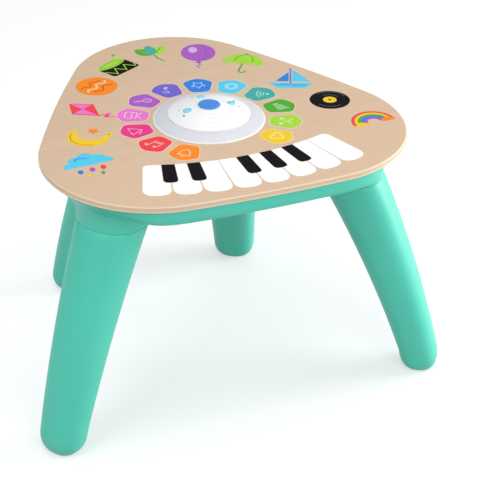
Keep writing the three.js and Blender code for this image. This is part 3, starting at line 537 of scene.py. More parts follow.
def side_centre(start, end):
    """Centre of the long arc that touches two neighbouring corner arcs from outside."""
    dx, dy = end[0] - start[0], end[1] - start[1]
    gap = hypot(dx, dy)
    a, b = SIDE_RADIUS - start[2], SIDE_RADIUS - end[2]
    along = (a * a - b * b + gap * gap) / (2 * gap)
    across = sqrt(a * a - along * along)
    return start[0] + (dx * along - dy * across) / gap, start[1] + (dy * along + dx * across) / gap


SIDES = [side_centre(CORNERS[i], CORNERS[(i + 1) % 3]) for i in range(3)]


def outline(inset):
    """The rounded triangle drawn in by the inset, as points round the frame's Z axis."""
    side_steps, corner_steps = 14, 40
    points = []
    for i in range(3):
        start_corner, end_corner = CORNERS[i], CORNERS[(i + 1) % 3]
        side, next_side = SIDES[i], SIDES[(i + 1) % 3]
        bearings = [
            atan2(start_corner[1] - side[1], start_corner[0] - side[0]),
            atan2(end_corner[1] - side[1], end_corner[0] - side[0]),
            atan2(end_corner[1] - next_side[1], end_corner[0] - next_side[0]),
        ]
        for j in (1, 2):
            while bearings[j] < bearings[j - 1]:
                bearings[j] += 2 * pi
        points += arc(side, SIDE_RADIUS - inset, bearings[0], bearings[1], side_steps)
        points += arc(end_corner[:2], end_corner[2] - inset, bearings[1], bearings[2], corner_steps)
    return [Vector((x, y + TOP_CENTRE_Y, 0)) for x, y in points]


def level(points, z):
    return [Vector((p.x, p.y, z)) for p in points]


def table_top():
    rings = []
    steps = 6
    for low, edge in ((True, WOOD_UNDER), (False, SURFACE)):
        for i in range(steps + 1):
            turn = pi / 2 * (i / steps if low else 1 - i / steps)
            drawn = WOOD_ROUND * (1 - sin(turn))
            rise = WOOD_ROUND * (1 - cos(turn))
            rings.append(level(outline(drawn), edge + rise if low else edge - rise))
    board = loft("plywood_top", rings)
    cutters = [upright("module_hole", *MODULE, BELOW_WOOD, ABOVE_WOOD, MODULE_HOLE, 128)]
    for i in range(1, 6):
        low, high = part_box(f"top_screw_{i}")
        x, y = (low.x + high.x) / 2, (low.y + high.y) / 2
        cutters.append(upright("pilot", x, y, WOOD_UNDER - MM, high.z + 0.3 * MM, SCREW_HOLE, 16))
    combine(board, cutters, "DIFFERENCE")
    finish_piece(board, wood, ["table_top"])


# The moulded base and its legs

# Sections are given by their half widths, away from the table's middle and across
LEG_SIDES = 64
LEG_SQUARENESS = 2.4
LEG_TOP = (40 * MM, 43 * MM)
LEG_SETBACK = 1.2 * MM
LEG_FOOT = (26.2 * MM, 29.8 * MM)
LEG_SPLAY = 101 * MM
LEG_BOW = 0.24
LEG_WALL = 3.6 * MM
FOOT_ROUND = 24 * MM
SEAM = 285 * MM
SEAM_SLOPE = 0.09
SEAM_GAP = 0.8 * MM
PLUG_WALL = 4.2 * MM
PLUG_TOP = 312 * MM
LEGS = {
    "front_right": (radians(-29.4), 185.5 * MM),
    "front_left": (radians(209.4), 185.5 * MM),
    "back_right": (radians(60), 151.5 * MM),
    "back_left": (radians(120), 151.5 * MM),
}
BAND_INSET = 3 * MM
BAND_TUCK = 5 * MM
BAND_ROUND = 10 * MM
BAND_LOW = 320 * MM
BAND_TOP = 352 * MM
FLOOR_TOP = 323 * MM
FLOOR_CUT = (318 * MM, 325 * MM)
BASE_WALL = 3 * MM
FUNNEL_DEPTH = 18 * MM
# Degrees beside a front neck between which its share fades, towards the front and towards the back
FRONT_FADE = (22, 48)
BACK_FADE = (32, 62)
NECK_TOP = 341 * MM
NECK_START = 292 * MM
NECK_LOW = 275 * MM
NECK_FLARE = 24 * MM
NECK_POWER = 2.4
HEAD_ROOM = 4 * MM
# The battery door's hinge and opening
CASE_Y = -97 * MM + TOP_CENTRE_Y
EAR_X = 31.85 * MM
EAR_HALF = 3.5 * MM
EAR_Y = (16.3 * MM + CASE_Y, 22.1 * MM + CASE_Y)
EAR_Z = (320.3 * MM, 326.1 * MM)
PIN = Vector((33 * MM, 19.2 * MM + CASE_Y, 322.4 * MM))
DOOR_X = 28.35 * MM
DOOR_Y = (-35.3 * MM + CASE_Y, 22.3 * MM + CASE_Y)


def leg_section(z, radial, across, ahead, slope=0):
    """A superellipse in the leg's own axes, X away from the table's middle, level without a slope."""
    ring = []
    power = 2 / LEG_SQUARENESS
    for i in range(LEG_SIDES):
        c, s = cos(2 * pi * i / LEG_SIDES), sin(2 * pi * i / LEG_SIDES)
        x = radial * copysign(abs(c) ** power, c)
        y = across * copysign(abs(s) ** power, s)
        ring.append(Vector((ahead + x, y, z + slope * x)))
    return ring


def lean(share):
    return LEG_SPLAY * (share * (1 + LEG_BOW) - LEG_BOW * share * share) + LEG_SETBACK * share


def leg_ring(share, inset=0.0):
    z = SEAM + (FOOT_ROUND - SEAM) * share
    radial = LEG_TOP[0] + (LEG_FOOT[0] - LEG_TOP[0]) * share - inset
    across = LEG_TOP[1] + (LEG_FOOT[1] - LEG_TOP[1]) * share - inset
    return leg_section(z, radial, across, lean(share), SEAM_SLOPE * (1 - share))


def on_leg(rings, name):
    """Rings in a leg's own axes, set down where that leg stands."""
    turn, radius = LEGS[name]
    radius -= LEG_SETBACK
    place = Matrix.Translation((radius * cos(turn), radius * sin(turn) + TOP_CENTRE_Y, 0))
    place = place @ Matrix.Rotation(turn, 4, "Z")
    return [[place @ point for point in ring] for ring in rings]


def leg_rings():
    """Foot, skin and edge from the floor up, then the plug, and the hollow down to the foot."""
    foot_steps, skin_steps, hollow_steps = 9, 30, 8
    flat = 0.5
    edge = 0.5 * MM
    rings = []
    for i in range(foot_steps):
        turn = pi / 2 * i / foot_steps
        spread = flat + (1 - flat) * sin(turn)
        z = FOOT_ROUND * (1 - cos(turn))
        ahead = lean(1) + (lean(1) - lean(0.97)) * (1 - z / FOOT_ROUND)
        rings.append(leg_section(z, LEG_FOOT[0] * spread, LEG_FOOT[1] * spread, ahead))
    rings += [leg_ring(1 - i / skin_steps) for i in range(skin_steps)]
    rings.append([p - Vector((0, 0, edge)) for p in leg_ring(0)])
    rings.append(leg_ring(0, edge))
    plug = (LEG_TOP[0] - PLUG_WALL, LEG_TOP[1] - PLUG_WALL)
    rings.append(leg_section(SEAM, *plug, 0, SEAM_SLOPE))
    rings.append(leg_section(PLUG_TOP, *plug, 0))
    rings.append(leg_section(PLUG_TOP, plug[0] - LEG_WALL, plug[1] - LEG_WALL, 0))
    for i in range(hollow_steps + 1):
        share = i / hollow_steps
        rings.append(leg_ring(share, LEG_WALL + PLUG_WALL * (1 - share)))
    return rings


def legs():
    for name in LEGS:
        leg = loft(f"moulded_leg_{name}", on_leg(leg_rings(), name))
        finish_piece(leg, teal, [f"leg_{name}"], smooth=50)


def beside_neck(point):
    """One at a front leg's neck, fading to zero sooner towards the front than towards the back."""
    best = 0
    for name, corner, side in (("front_right", CORNERS[1], -1), ("front_left", CORNERS[0], 1)):
        turn, radius = LEGS[name]
        leg = Vector((radius * cos(turn) - corner[0], radius * sin(turn) - corner[1]))
        out = Vector((point.x - corner[0], point.y - TOP_CENTRE_Y - corner[1]))
        away = -side * degrees(leg.angle_signed(out))
        start, end = FRONT_FADE if away > 0 else BACK_FADE
        share = min(1, max(0, (abs(away) - start) / (end - start)))
        best = max(best, 1 - share * share * (3 - 2 * share))
    return best


def band_rings(inset, low, high, top, steps):
    """The base's skin at each height: rounded in along the sides, drawn in further at the front necks."""
    edge = outline(0)
    inward = [drawn - outer for drawn, outer in zip(outline(1), edge)]
    necks = [beside_neck(point) for point in edge]
    turns = [pi / 2 * i / steps for i in range(steps + 1)]
    heights = [low + BAND_ROUND * (1 - cos(turn)) for turn in turns]
    tucks = [BAND_TUCK * (1 - sin(turn)) for turn in turns]
    rings = []
    for z, tuck in zip([*heights, top], [*tucks, 0]):
        funnel = FUNNEL_DEPTH * max(0, (high - z) / (high - low))
        depths = [inset + tuck + (funnel - tuck) * share for share in necks]
        rings.append(level([p + way * depth for p, way, depth in zip(edge, inward, depths)], z))
    return rings


def neck_rings():
    """A trumpet that opens up to the wood, most of all away from the table's middle."""
    steps = 16
    outward = [0.5 + 0.5 * cos(2 * pi * i / LEG_SIDES) for i in range(LEG_SIDES)]
    rings = [leg_section(NECK_LOW, *LEG_TOP, 0)]
    for i in range(steps + 1):
        z = NECK_START + (NECK_TOP - NECK_START) * i / steps
        spread = NECK_FLARE * (i / steps) ** NECK_POWER
        narrow = leg_section(z, *LEG_TOP, 0)
        wide = leg_section(z, LEG_TOP[0] + spread, LEG_TOP[1] + spread, 0)
        rings.append([near.lerp(far, share) for near, far, share in zip(narrow, wide, outward)])
    return rings


def bisected(piece, point, normal):
    """Cuts away all that lies on the normal's side of a plane, and closes the cut."""
    edit(piece)
    bpy.ops.mesh.select_all(action="SELECT")
    bpy.ops.mesh.bisect(plane_co=point, plane_no=normal, use_fill=True, clear_outer=True)
    leave()


def base_skin():
    """Band and necks joined, then remeshed and smoothed so that each flows into the other."""
    skin = loft("moulded_base", band_rings(BAND_INSET, BAND_LOW, WOOD_UNDER, BAND_TOP, 12))
    limit = [level(outline(BAND_INSET), z) for z in (260 * MM, ABOVE_WOOD)]
    for name in LEGS:
        neck = loft("neck", on_leg(neck_rings(), name))
        combine(neck, [loft("limit", limit)], "INTERSECT")
        combine(skin, [neck], "UNION")
    modify(skin, "REMESH", mode="VOXEL", voxel_size=2.6 * MM, adaptivity=0)
    modify(skin, "SMOOTH", factor=0.6, iterations=12)
    bisected(skin, (0, 0, WOOD_UNDER), (0, 0, 1))
    for turn, radius in LEGS.values():
        middle = (radius * cos(turn), radius * sin(turn) + TOP_CENTRE_Y, SEAM + SEAM_GAP)
        bisected(skin, middle, (SEAM_SLOPE * cos(turn), SEAM_SLOPE * sin(turn), -1))
    return skin


def base_shell():
    """The base hollowed out, with posts and hinge ears inside and every hole through its floor and necks."""
    shell = base_skin()
    hollows = [loft("tray", band_rings(BAND_INSET + BASE_WALL, FLOOR_TOP, WOOD_UNDER, ABOVE_WOOD, 6))]
    holes = []
    seats = []
    fit = 0.4 * MM - PLUG_WALL
    socket_size = (LEG_TOP[0] + fit, LEG_TOP[1] + fit)
    for name in LEGS:
        socket = [leg_section(z, *socket_size, 0) for z in (270 * MM, PLUG_TOP + SEAM_GAP)]
        hollows.append(loft("socket", on_leg(socket, name)))
        along = [Vector((x * MM, 0, 300.5 * MM)) for x in (-50, -38.3, -30)]
        outside, seat, inside = on_leg([along], name)[0]
        holes.append(rod("screw_hole", outside, inside, SCREW_HOLE))
        seats.append(rod("screw_seat", outside, seat, HEAD_ROOM, 32))
    combine(shell, [joined("hollows", hollows)], "DIFFERENCE")

    standing = []
    low, high = FLOOR_CUT
    for i in range(1, 6):
        x, y = middle_of(f"top_screw_{i}")
        standing.append(upright("wood_post", x, y, FLOOR_TOP - 0.3 * MM, WOOD_UNDER, 5.6 * MM, 32))
        holes.append(upright("wood_screw_hole", x, y, low, WOOD_UNDER + 2 * MM, SCREW_HOLE))
        seats.append(upright("head_room", x, y, low, FLOOR_TOP, HEAD_ROOM, 32))
    for x in (-EAR_X, EAR_X):
        ear = (x - EAR_HALF, EAR_Y[0], EAR_Z[0]), (x + EAR_HALF, EAR_Y[1], EAR_Z[1])
        standing.append(box_between("hinge_ear", *ear))
    combine(shell, [joined("standing", standing)], "UNION")
    for i in range(1, 5):
        holes.append(upright("module_hole", *middle_of(f"module_screw_{i}"), low, high, SCREW_HOLE))
    x, y = middle_of("switch_knob")
    slot = (x - 5.9 * MM, y - 2.5 * MM, low), (x + 5.9 * MM, y + 2.5 * MM, high)
    holes.append(box_between("knob_slot", *slot))
    holes.append(box_between("battery_opening", (-DOOR_X, DOOR_Y[0], low), (DOOR_X, DOOR_Y[1], high)))
    seats.append(rod("hinge_bore", (-PIN.x, PIN.y, PIN.z), PIN, 1.5 * MM))
    combine(shell, [joined("holes", holes)], "DIFFERENCE")
    combine(shell, [joined("seats", seats)], "DIFFERENCE")
    finish_piece(shell, teal, ["base_shell"], smooth=35)


# Control module


# Radii and heights; the dome is part of a ball
MODULE_WALL = 2.4 * MM
RIM = 71.3 * MM
RIM_TOP = SURFACE + 1.5 * MM
CUP_INNER = 63.2 * MM
RING_OUTER = 69.4 * MM
RING_WALL = 2 * MM
CAP = 52.4 * MM
CAP_EDGE = SURFACE + 8.75 * MM
CAP_LOW = CAP_EDGE - 1.9 * MM
DOME = 130 * MM
DOME_BASE = CAP_EDGE - sqrt(DOME**2 - CAP**2)


def dome_height(r, inset=0.0):
    return DOME_BASE + sqrt((DOME - inset) ** 2 - r**2)


def profile_corner(r, z, radius, end):
    """A rounded corner of a profile, from level outwards up to a bearing in degrees."""
    return ellipse(r, z, radius, None, 0, end, 5)


def housing():
    outer = CUP_INNER + MODULE_WALL
    inside = FLOOR_TOP + 2.2 * MM
    profile = [(0, FLOOR_TOP), (outer, FLOOR_TOP), (outer, SURFACE), (RIM, SURFACE)]
    profile += profile_corner(RIM - 1.1 * MM, SURFACE + 0.4 * MM, 1.1 * MM, 90)
    profile += [(CUP_INNER, RIM_TOP), (CUP_INNER, inside), (0, inside)]
    cup = spun("module_cup", profile, 128, MODULE)
    finish_piece(cup, white_plastic, ["module_housing"])


def light_ring():
    """A slightly bulging slope from the rim up to the cap, with a skirt in the cup and a ledge in the cap."""
    steps = 12
    slope = []
    for i in range(steps + 1):
        share = i / steps
        bulge = 0.9 * MM * sin(pi * share)
        r = RING_OUTER + (CAP - RING_OUTER) * share + bulge * 0.4
        slope.append((r, RIM_TOP + (CAP_LOW - RIM_TOP) * share + bulge))
    inner = CUP_INNER - 0.3 * MM
    skirt = RIM_TOP - 6 * MM
    ledge = CAP - 6 * MM
    profile = [(inner - RING_WALL, skirt), (inner, skirt), (inner, RIM_TOP), *slope, (ledge, CAP_LOW)]
    profile += [(ledge, CAP_LOW - RING_WALL), (CAP - RING_WALL, CAP_LOW - RING_WALL)]
    profile.append((inner - RING_WALL, RIM_TOP))
    ring = spun("diffusing_ring", profile, 128, MODULE)
    finish_piece(ring, ring_plastic, ["light_ring"], smooth=30)


# Places from the dome's middle, and the radius of each
BUTTONS = {
    "centre_button": (0, 0, 13.75 * MM),
    "left_button": (-29.5 * MM, 0, 5.25 * MM),
    "back_button": (0, 29.5 * MM, 5.25 * MM),
    "right_button": (29.5 * MM, 0, 5.25 * MM),
}


def dome():
    """The cap as a shell, with the buttons' holes through it and three sound slots pressed into it."""
    inner = CAP - MODULE_WALL
    profile = [(CAP, CAP_LOW), *profile_corner(CAP - 0.7 * MM, CAP_EDGE - 0.5 * MM, 0.7 * MM, 68)]
    profile += [(CAP * i / 24, dome_height(CAP * i / 24)) for i in range(23, -1, -1)]
    profile += [(inner * i / 12, dome_height(inner * i / 12, MODULE_WALL)) for i in range(13)]
    profile.append((inner, CAP_LOW))
    cap = spun("domed_cap", profile, 128, MODULE)
    low, high = SURFACE - 10 * MM, SURFACE + 40 * MM
    cutters = [
        upright("button_hole", x, y + TOP_CENTRE_Y, low, high, radius + 0.3 * MM, 64)
        for x, y, radius in BUTTONS.values()
    ]
    cutters += [arc_groove(reach * MM) for reach in (26, 33, 40)]
    combine(cap, cutters, "DIFFERENCE")
    finish_piece(cap, white_plastic, ["dome_cap"], smooth=30)


def arc_groove(reach):
    """A long bar with tapered ends laid on the dome, to press a sound slot into it."""
    half = 1.4 * MM
    sweep = 42
    steps = 28
    up = Vector((0, 0, 1))
    rings = []
    for i in range(steps + 1):
        turn = radians(-90 - sweep / 2 + sweep * i / steps)
        out = Vector((cos(turn), sin(turn), 0))
        centre = Vector((reach * cos(turn), reach * sin(turn) + TOP_CENTRE_Y, dome_height(reach)))
        taper = 0.25 if i in (0, steps) else 1
        rings.append([
            centre + out * half * taper * cos(a) + up * half * taper * 0.75 * sin(a)
            for a in [2 * pi * j / 12 for j in range(12)]
        ])
    return loft("sound_slot", rings)


def buttons():
    """Each a stem, a collar that stays under the cap, and a crowned top just above the dome."""
    stem = 2.4 * MM
    for name, (x, y, radius) in BUTTONS.items():
        reach = hypot(x, y)
        crown = dome_height(reach) + 1.5 * MM
        low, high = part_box(name)
        flange = radius + 1.8 * MM
        collar = dome_height(reach + flange, MODULE_WALL) - 0.3 * MM
        under = collar - 1.1 * MM
        profile = [(0, low.z), (stem, low.z), (stem, under)]
        profile += [(flange, under), (flange, collar), (radius, collar)]
        profile += profile_corner(radius - 0.7 * MM, crown - 1.4 * MM, 0.7 * MM, 75)
        last_r, last_z = profile[-1]
        for i in range(9, -1, -1):
            profile.append((last_r * i / 10, crown - (crown - last_z) * (i / 10) ** 2))
        piece = spun(f"{name}_cap", profile, 64, (x, y + TOP_CENTRE_Y))
        finish, slot = aqua_plastic, "aqua_plastic"
        if name == "centre_button":
            finish, slot = blue_plastic, "blue_plastic"
        finish_piece(piece, finish, [name], body=name, smooth=35)


table_top()
base_shell()
legs()
housing()
light_ring()
dome()
buttons()


# Prints


def drawn_places(points, place, height):
    """Flat drawing points in millimetres, set down on the table by a place's own axes."""
    x, y, turn, size = place
    c, s = cos(turn), sin(turn)
    spots = []
    for u, v in points:
        px = (x + size * (u * c - v * s)) * MM
        py = (y + size * (u * s + v * c)) * MM + TOP_CENTRE_Y
        spots.append(Vector((px, py, height(px, py) if callable(height) else height)))
    return spots


def sheet(name, outlines):
    """
    Thin printed shapes as one piece. Each is its points, its place, its underside and its upper side,
    and its points are a pair of rows where it is a line.
    """
    films = []
    for points, place, low, high in outlines:
        if isinstance(points, tuple):
            left, right = (drawn_places(side, place, low) for side in points)
            rise = 0.25 * MM if callable(high) else high - low
            films.append(ribbon(name, left, right, rise))
        else:
            films.append(loft(name, [drawn_places(points, place, z) for z in (low, high)]))
    return joined(name, films) if len(films) > 1 else films[0]


def half_ring(x, y, inner, outer):
    return ellipse(x, y, outer, None, 0, 180, 24) + ellipse(x, y, inner, None, 180, 0, 24)


def rounded(points, radius, steps=5):
    """A polygon with its corners rounded by short curves."""
    smooth = []
    for i, (x, y) in enumerate(points):
        before, after = points[i - 1], points[(i + 1) % len(points)]
        ends = []
        for px, py in (before, after):
            gap = hypot(px - x, py - y)
            share = min(radius, gap * 0.48) / gap
            ends.append((x + (px - x) * share, y + (py - y) * share))
        for j in range(steps + 1):
            t = j / steps
            smooth.append(tuple(
                (1 - t) ** 2 * ends[0][k] + 2 * t * (1 - t) * (x, y)[k] + t**2 * ends[1][k] for k in (0, 1)
            ))
    return smooth


def stroke(points, width=1.3):
    """A line of even width with round ends, as its left and right sides."""
    closed = points[0] == points[-1]
    half = width / 2
    count = len(points)
    left, right = [], []
    for i, (x, y) in enumerate(points):
        before = points[i - 1] if i else points[-2 if closed else 0]
        after = points[i + 1] if i + 1 < count else points[1 if closed else -1]
        ways = []
        for (ax, ay), (bx, by) in ((before, (x, y)), ((x, y), after)):
            gap = hypot(bx - ax, by - ay)
            if gap:
                ways.append(((bx - ax) / gap, (by - ay) / gap))
        wx, wy = ways[0][0] + ways[-1][0], ways[0][1] + ways[-1][1]
        size = hypot(wx, wy)
        reach = half * min(1.8, 2 / size) / size
        left.append((x - wy * reach, y + wx * reach))
        right.append((x + wy * reach, y - wx * reach))
    if not closed:
        for side, tip in ((0, -1), (-1, 1)):
            (x, y), (lx, ly) = points[side], left[side]
            nx, ny = (lx - x) / half, (ly - y) / half
            for step in (1, 2, 3):
                turn = step * pi / 6.3
                across, along = half * cos(turn), tip * half * sin(turn)
                where = 0 if tip < 0 else len(left)
                left.insert(where, (x + nx * across + ny * along, y + ny * across - nx * along))
                right.insert(where, (x - nx * across + ny * along, y - ny * across - nx * along))
    return left, right


def ribbon(name, left, right, height):
    """A strip of quads between two rows of places, raised to a film's height."""
    grid = bpy.ops.mesh.primitive_grid_add
    piece = added(name, grid, x_subdivisions=len(left) - 1, y_subdivisions=1, size=0.1)
    shape = edit(piece)
    for corner, spot in zip(shape.verts, right + left):
        corner.co = spot
    bmesh.update_edit_mesh(piece.data)
    bpy.ops.mesh.select_all(action="SELECT")
    bpy.ops.mesh.remove_doubles(threshold=MERGE)
    bpy.ops.mesh.select_all(action="SELECT")
    bpy.ops.mesh.extrude_region_move(TRANSFORM_OT_translate={"value": (0, 0, height)})
    leave()
    tidy_skin(piece)
    return piece


def looped(points):
    return [*points, points[0]]


def star(x, y, outer, inner, spikes=5):
    points = []
    for i in range(2 * spikes):
        angle = radians(90 + 180 * i / spikes)
        radius = inner if i % 2 else outer
        points.append((x + radius * cos(angle), y + radius * sin(angle)))
    return points


# The keys lie in a fan: drawings in millimetres, radii from the fan's centre, bearings in radians
KEY_INNER = 357
KEY_OUTER = 432
KEY_FAN = KEY_INNER - 110
KEY_STEP = 30.84 / KEY_INNER
KEY_GAP = 1.1
KEY_COUNT = 8
BLACK_SHARE = 0.55
BLACK_LENGTH = 45
FILM = 0.2 * MM
FIRST_LAYER = (SURFACE, SURFACE + FILM)
SECOND_LAYER = (SURFACE + FILM, SURFACE + 2 * FILM)
BETWEEN_LAYERS = (SURFACE + 0.1 * MM, SURFACE + 1.3 * FILM)
SINK = 0.02


def fan_place(turn):
    return 0, KEY_FAN, turn, 1


def key_shape(half_back, half_front, length, back_radii, front_radius, steps):
    """A key widening towards the front, each corner rounded by a radius of its own."""
    back, front = -KEY_INNER, -KEY_INNER - length
    corners = [(-half_back, back), (-half_front, front), (half_front, front), (half_back, back)]
    radii = (back_radii[0], front_radius, front_radius, back_radii[1])
    shape = []
    for i, radius in enumerate(radii):
        shape += rounded(corners, radius, steps)[i * (steps + 1):(i + 1) * (steps + 1)]
    return shape


def white_keys():
    outer_corner, inner_corner = 8, 0.4
    half_back = (KEY_INNER * KEY_STEP - KEY_GAP) / 2
    half_front = ((KEY_OUTER - 13) * KEY_STEP - KEY_GAP) / 2
    films = []
    for i in range(KEY_COUNT):
        back_radii = [outer_corner if i == last else inner_corner for last in (0, KEY_COUNT - 1)]
        shape = key_shape(half_back, half_front, KEY_OUTER - KEY_INNER, back_radii, 0.9 * half_front, 8)
        films.append((shape, fan_place((i - 3.5) * KEY_STEP), *FIRST_LAYER))
    finish_piece(sheet("white_key_prints", films), key_white, ["white_keys"])


def black_key_shape(grow=0.0):
    half_back = (KEY_INNER * KEY_STEP * BLACK_SHARE - KEY_GAP) / 2 + grow
    half_front = ((KEY_INNER + 40) * KEY_STEP * BLACK_SHARE - KEY_GAP) / 2 + grow
    return key_shape(half_back, half_front, BLACK_LENGTH + grow, (0.8, 0.8), 7.5, 6)


def black_keys():
    rims = []
    for number, after in enumerate((1, 2, 4, 5, 6), 1):
        place = fan_place((after - 4) * KEY_STEP)
        rims.append((black_key_shape(0.55), place, *BETWEEN_LAYERS))
        piece = sheet(f"black_key_print_{number}", [(black_key_shape(), place, *SECOND_LAYER)])
        finish_piece(piece, key_black, [f"black_key_{number}"])
    finish_piece(sheet("black_key_borders", rims), key_rim, [])


# The pads take 12 of 14 places round the module, and the two towards the keys stay free
PAD_STEP = 2 * pi / 14
PAD_MIDDLE = 98.5
PAD_CORNERS = [(77.2, 12), (77.2, -12), (107, -20.7), (117.6, -5), (117.6, 5), (107, 20.7)]


def pad_turn(i):
    return -pi / 2 - (1.5 + i) * PAD_STEP


def pads():
    middle, growth = 98, 1.045
    shape = rounded(PAD_CORNERS, 7, 8)
    grown = rounded([(middle + (x - middle) * growth, y * growth) for x, y in PAD_CORNERS], 7.5, 8)
    places = [(0, 0, pad_turn(i), 1) for i in range(len(PAD_COLOURS))]
    rims = [(grown, place, SURFACE - SINK * MM, SURFACE + 0.4 * FILM) for place in places]
    finish_piece(sheet("touch_pad_borders", rims), pad_rim, [])
    for i, finish in enumerate(pad_inks):
        piece = sheet(f"touch_pad_print_{i + 1}", [(shape, places[i], *FIRST_LAYER)])
        finish_piece(piece, finish, [f"touch_pad_{i + 1}"])


def icon_lines():
    """One simple line picture for each pad, upright where the module lies above it."""
    bell = [stroke([(-9, -6), (-6.5, -3), (-6, 2), (-4, 6.5), (0, 8), (4, 6.5), (6, 2), (6.5, -3), (9, -6)])]
    bell += [stroke([(-9, -6), (9, -6)]), stroke(ellipse(0, -7, 2.6, None, 200, 340, 8))]
    bell += [stroke([(0, 8), (0, 10)])]
    notes = [stroke([(-5, -6), (-5, 7), (7, 9), (7, -4)]), stroke([(-5, 4), (7, 6)])]
    notes += [ellipse(-7.4, -6.5, 3, 2.2), ellipse(4.6, -4.5, 3, 2.2)]
    triangle = [stroke([(-2, -7), (-10, -7), (0, 9), (9, -6.4)]), stroke([(1.5, -7), (8, -7)])]
    triangle += [stroke([(4, 7), (10, 2)])]
    drum = [stroke(looped(ellipse(0, 3, 9, 3.4))), stroke([(-9, 3), (-9, -6)]), stroke([(9, 3), (9, -6)])]
    drum += [stroke(ellipse(0, -6, 9, 3.4, 180, 360, 16))]
    drum += [stroke([(-2.5, 8), (-8, 12)]), stroke([(2.5, 8), (8, 12)])]
    shaker = [stroke(looped(ellipse(-3.4, 4, 5.4))), stroke([(0.4, 0.2), (8.5, -8)], 1.9)]
    shaker += [ellipse(-5, 4.5, 0.8), ellipse(-2, 6, 0.8), ellipse(-2.6, 2.6, 0.8)]
    note = [stroke([(1, -6), (1, 9), (4, 6.5), (7, 5), (6.5, 1)]), ellipse(-1.8, -6.3, 3.4, 2.5)]
    star_lines = [stroke(looped(rounded(star(0, 0, 10.5, 4.8), 1.4)))]
    ring = [stroke(looped(ellipse(0, 0, 8.4))), stroke(looped(ellipse(0, 0, 5.6)))]
    ring += [ellipse(7 * cos(t), 7 * sin(t), 1.5, steps=12) for t in (0.3, 1.9, 3.4, 5.0)]
    waves = [ellipse(-7.5, -5.5, 2.2)]
    waves += [stroke(ellipse(-7.5, -5.5, r, None, 5, 82, 12)) for r in (6, 10.2, 14.4)]
    pipes = [stroke([(x, 7), (x, -8 + 2.2 * i)], 1.7) for i, x in enumerate((-7.5, -3.75, 0, 3.75, 7.5))]
    pipes += [stroke([(-10, 4), (10, 4)])]
    mallets = [stroke([(-7, -7.5), (6, 6)]), stroke([(7, -7.5), (-6, 6)])]
    mallets += [ellipse(7, 7.2, 2.6), ellipse(-7, 7.2, 2.6)]
    heart = [(0, -8.5), (-8, 0), (-9.4, 4), (-7.6, 7.6), (-4, 8.4), (-1.2, 6.6), (0, 4)]
    heart += [(-x, y) for x, y in heart[-2:0:-1]]
    loves = [stroke(looped(rounded(heart, 1.2)))]
    return [bell, notes, triangle, drum, shaker, note, star_lines, ring, waves, pipes, mallets, loves]


def icons():
    for i, lines in enumerate(icon_lines()):
        turn = pad_turn(i)
        place = (PAD_MIDDLE * cos(turn), PAD_MIDDLE * sin(turn), turn + pi / 2, 0.98)
        piece = sheet(f"pad_picture_{i + 1}", [(line, place, *BETWEEN_LAYERS) for line in lines])
        finish_piece(piece, pale_inks[i], [])


def leaf(x, y, length, wide, turn):
    points = [(0, 0), (length * 0.35, wide * 0.5), (length * 0.7, wide * 0.42), (length, 0)]
    points += [(length * 0.7, -wide * 0.42), (length * 0.35, -wide * 0.5)]
    c, s = cos(radians(turn)), sin(radians(turn))
    return [(x + u * c - v * s, y + u * s + v * c) for u, v in rounded(points, wide * 0.5, 5)]


def cloud(x, y, size):
    puffs = [(-1.5, -0.35, 0.65), (-0.75, 0.35, 0.75), (0.25, 0.6, 0.85), (1.15, 0.1, 0.75), (1.7, -0.4, 0.6)]
    points = []
    for i, (px, py, r) in enumerate(puffs):
        start = 200 if i == 0 else 165 - 18 * i
        end = -40 if i == len(puffs) - 1 else 75 - 22 * i
        points += ellipse(x + px * size, y + py * size, r * size, None, start, end, 8)
    return points


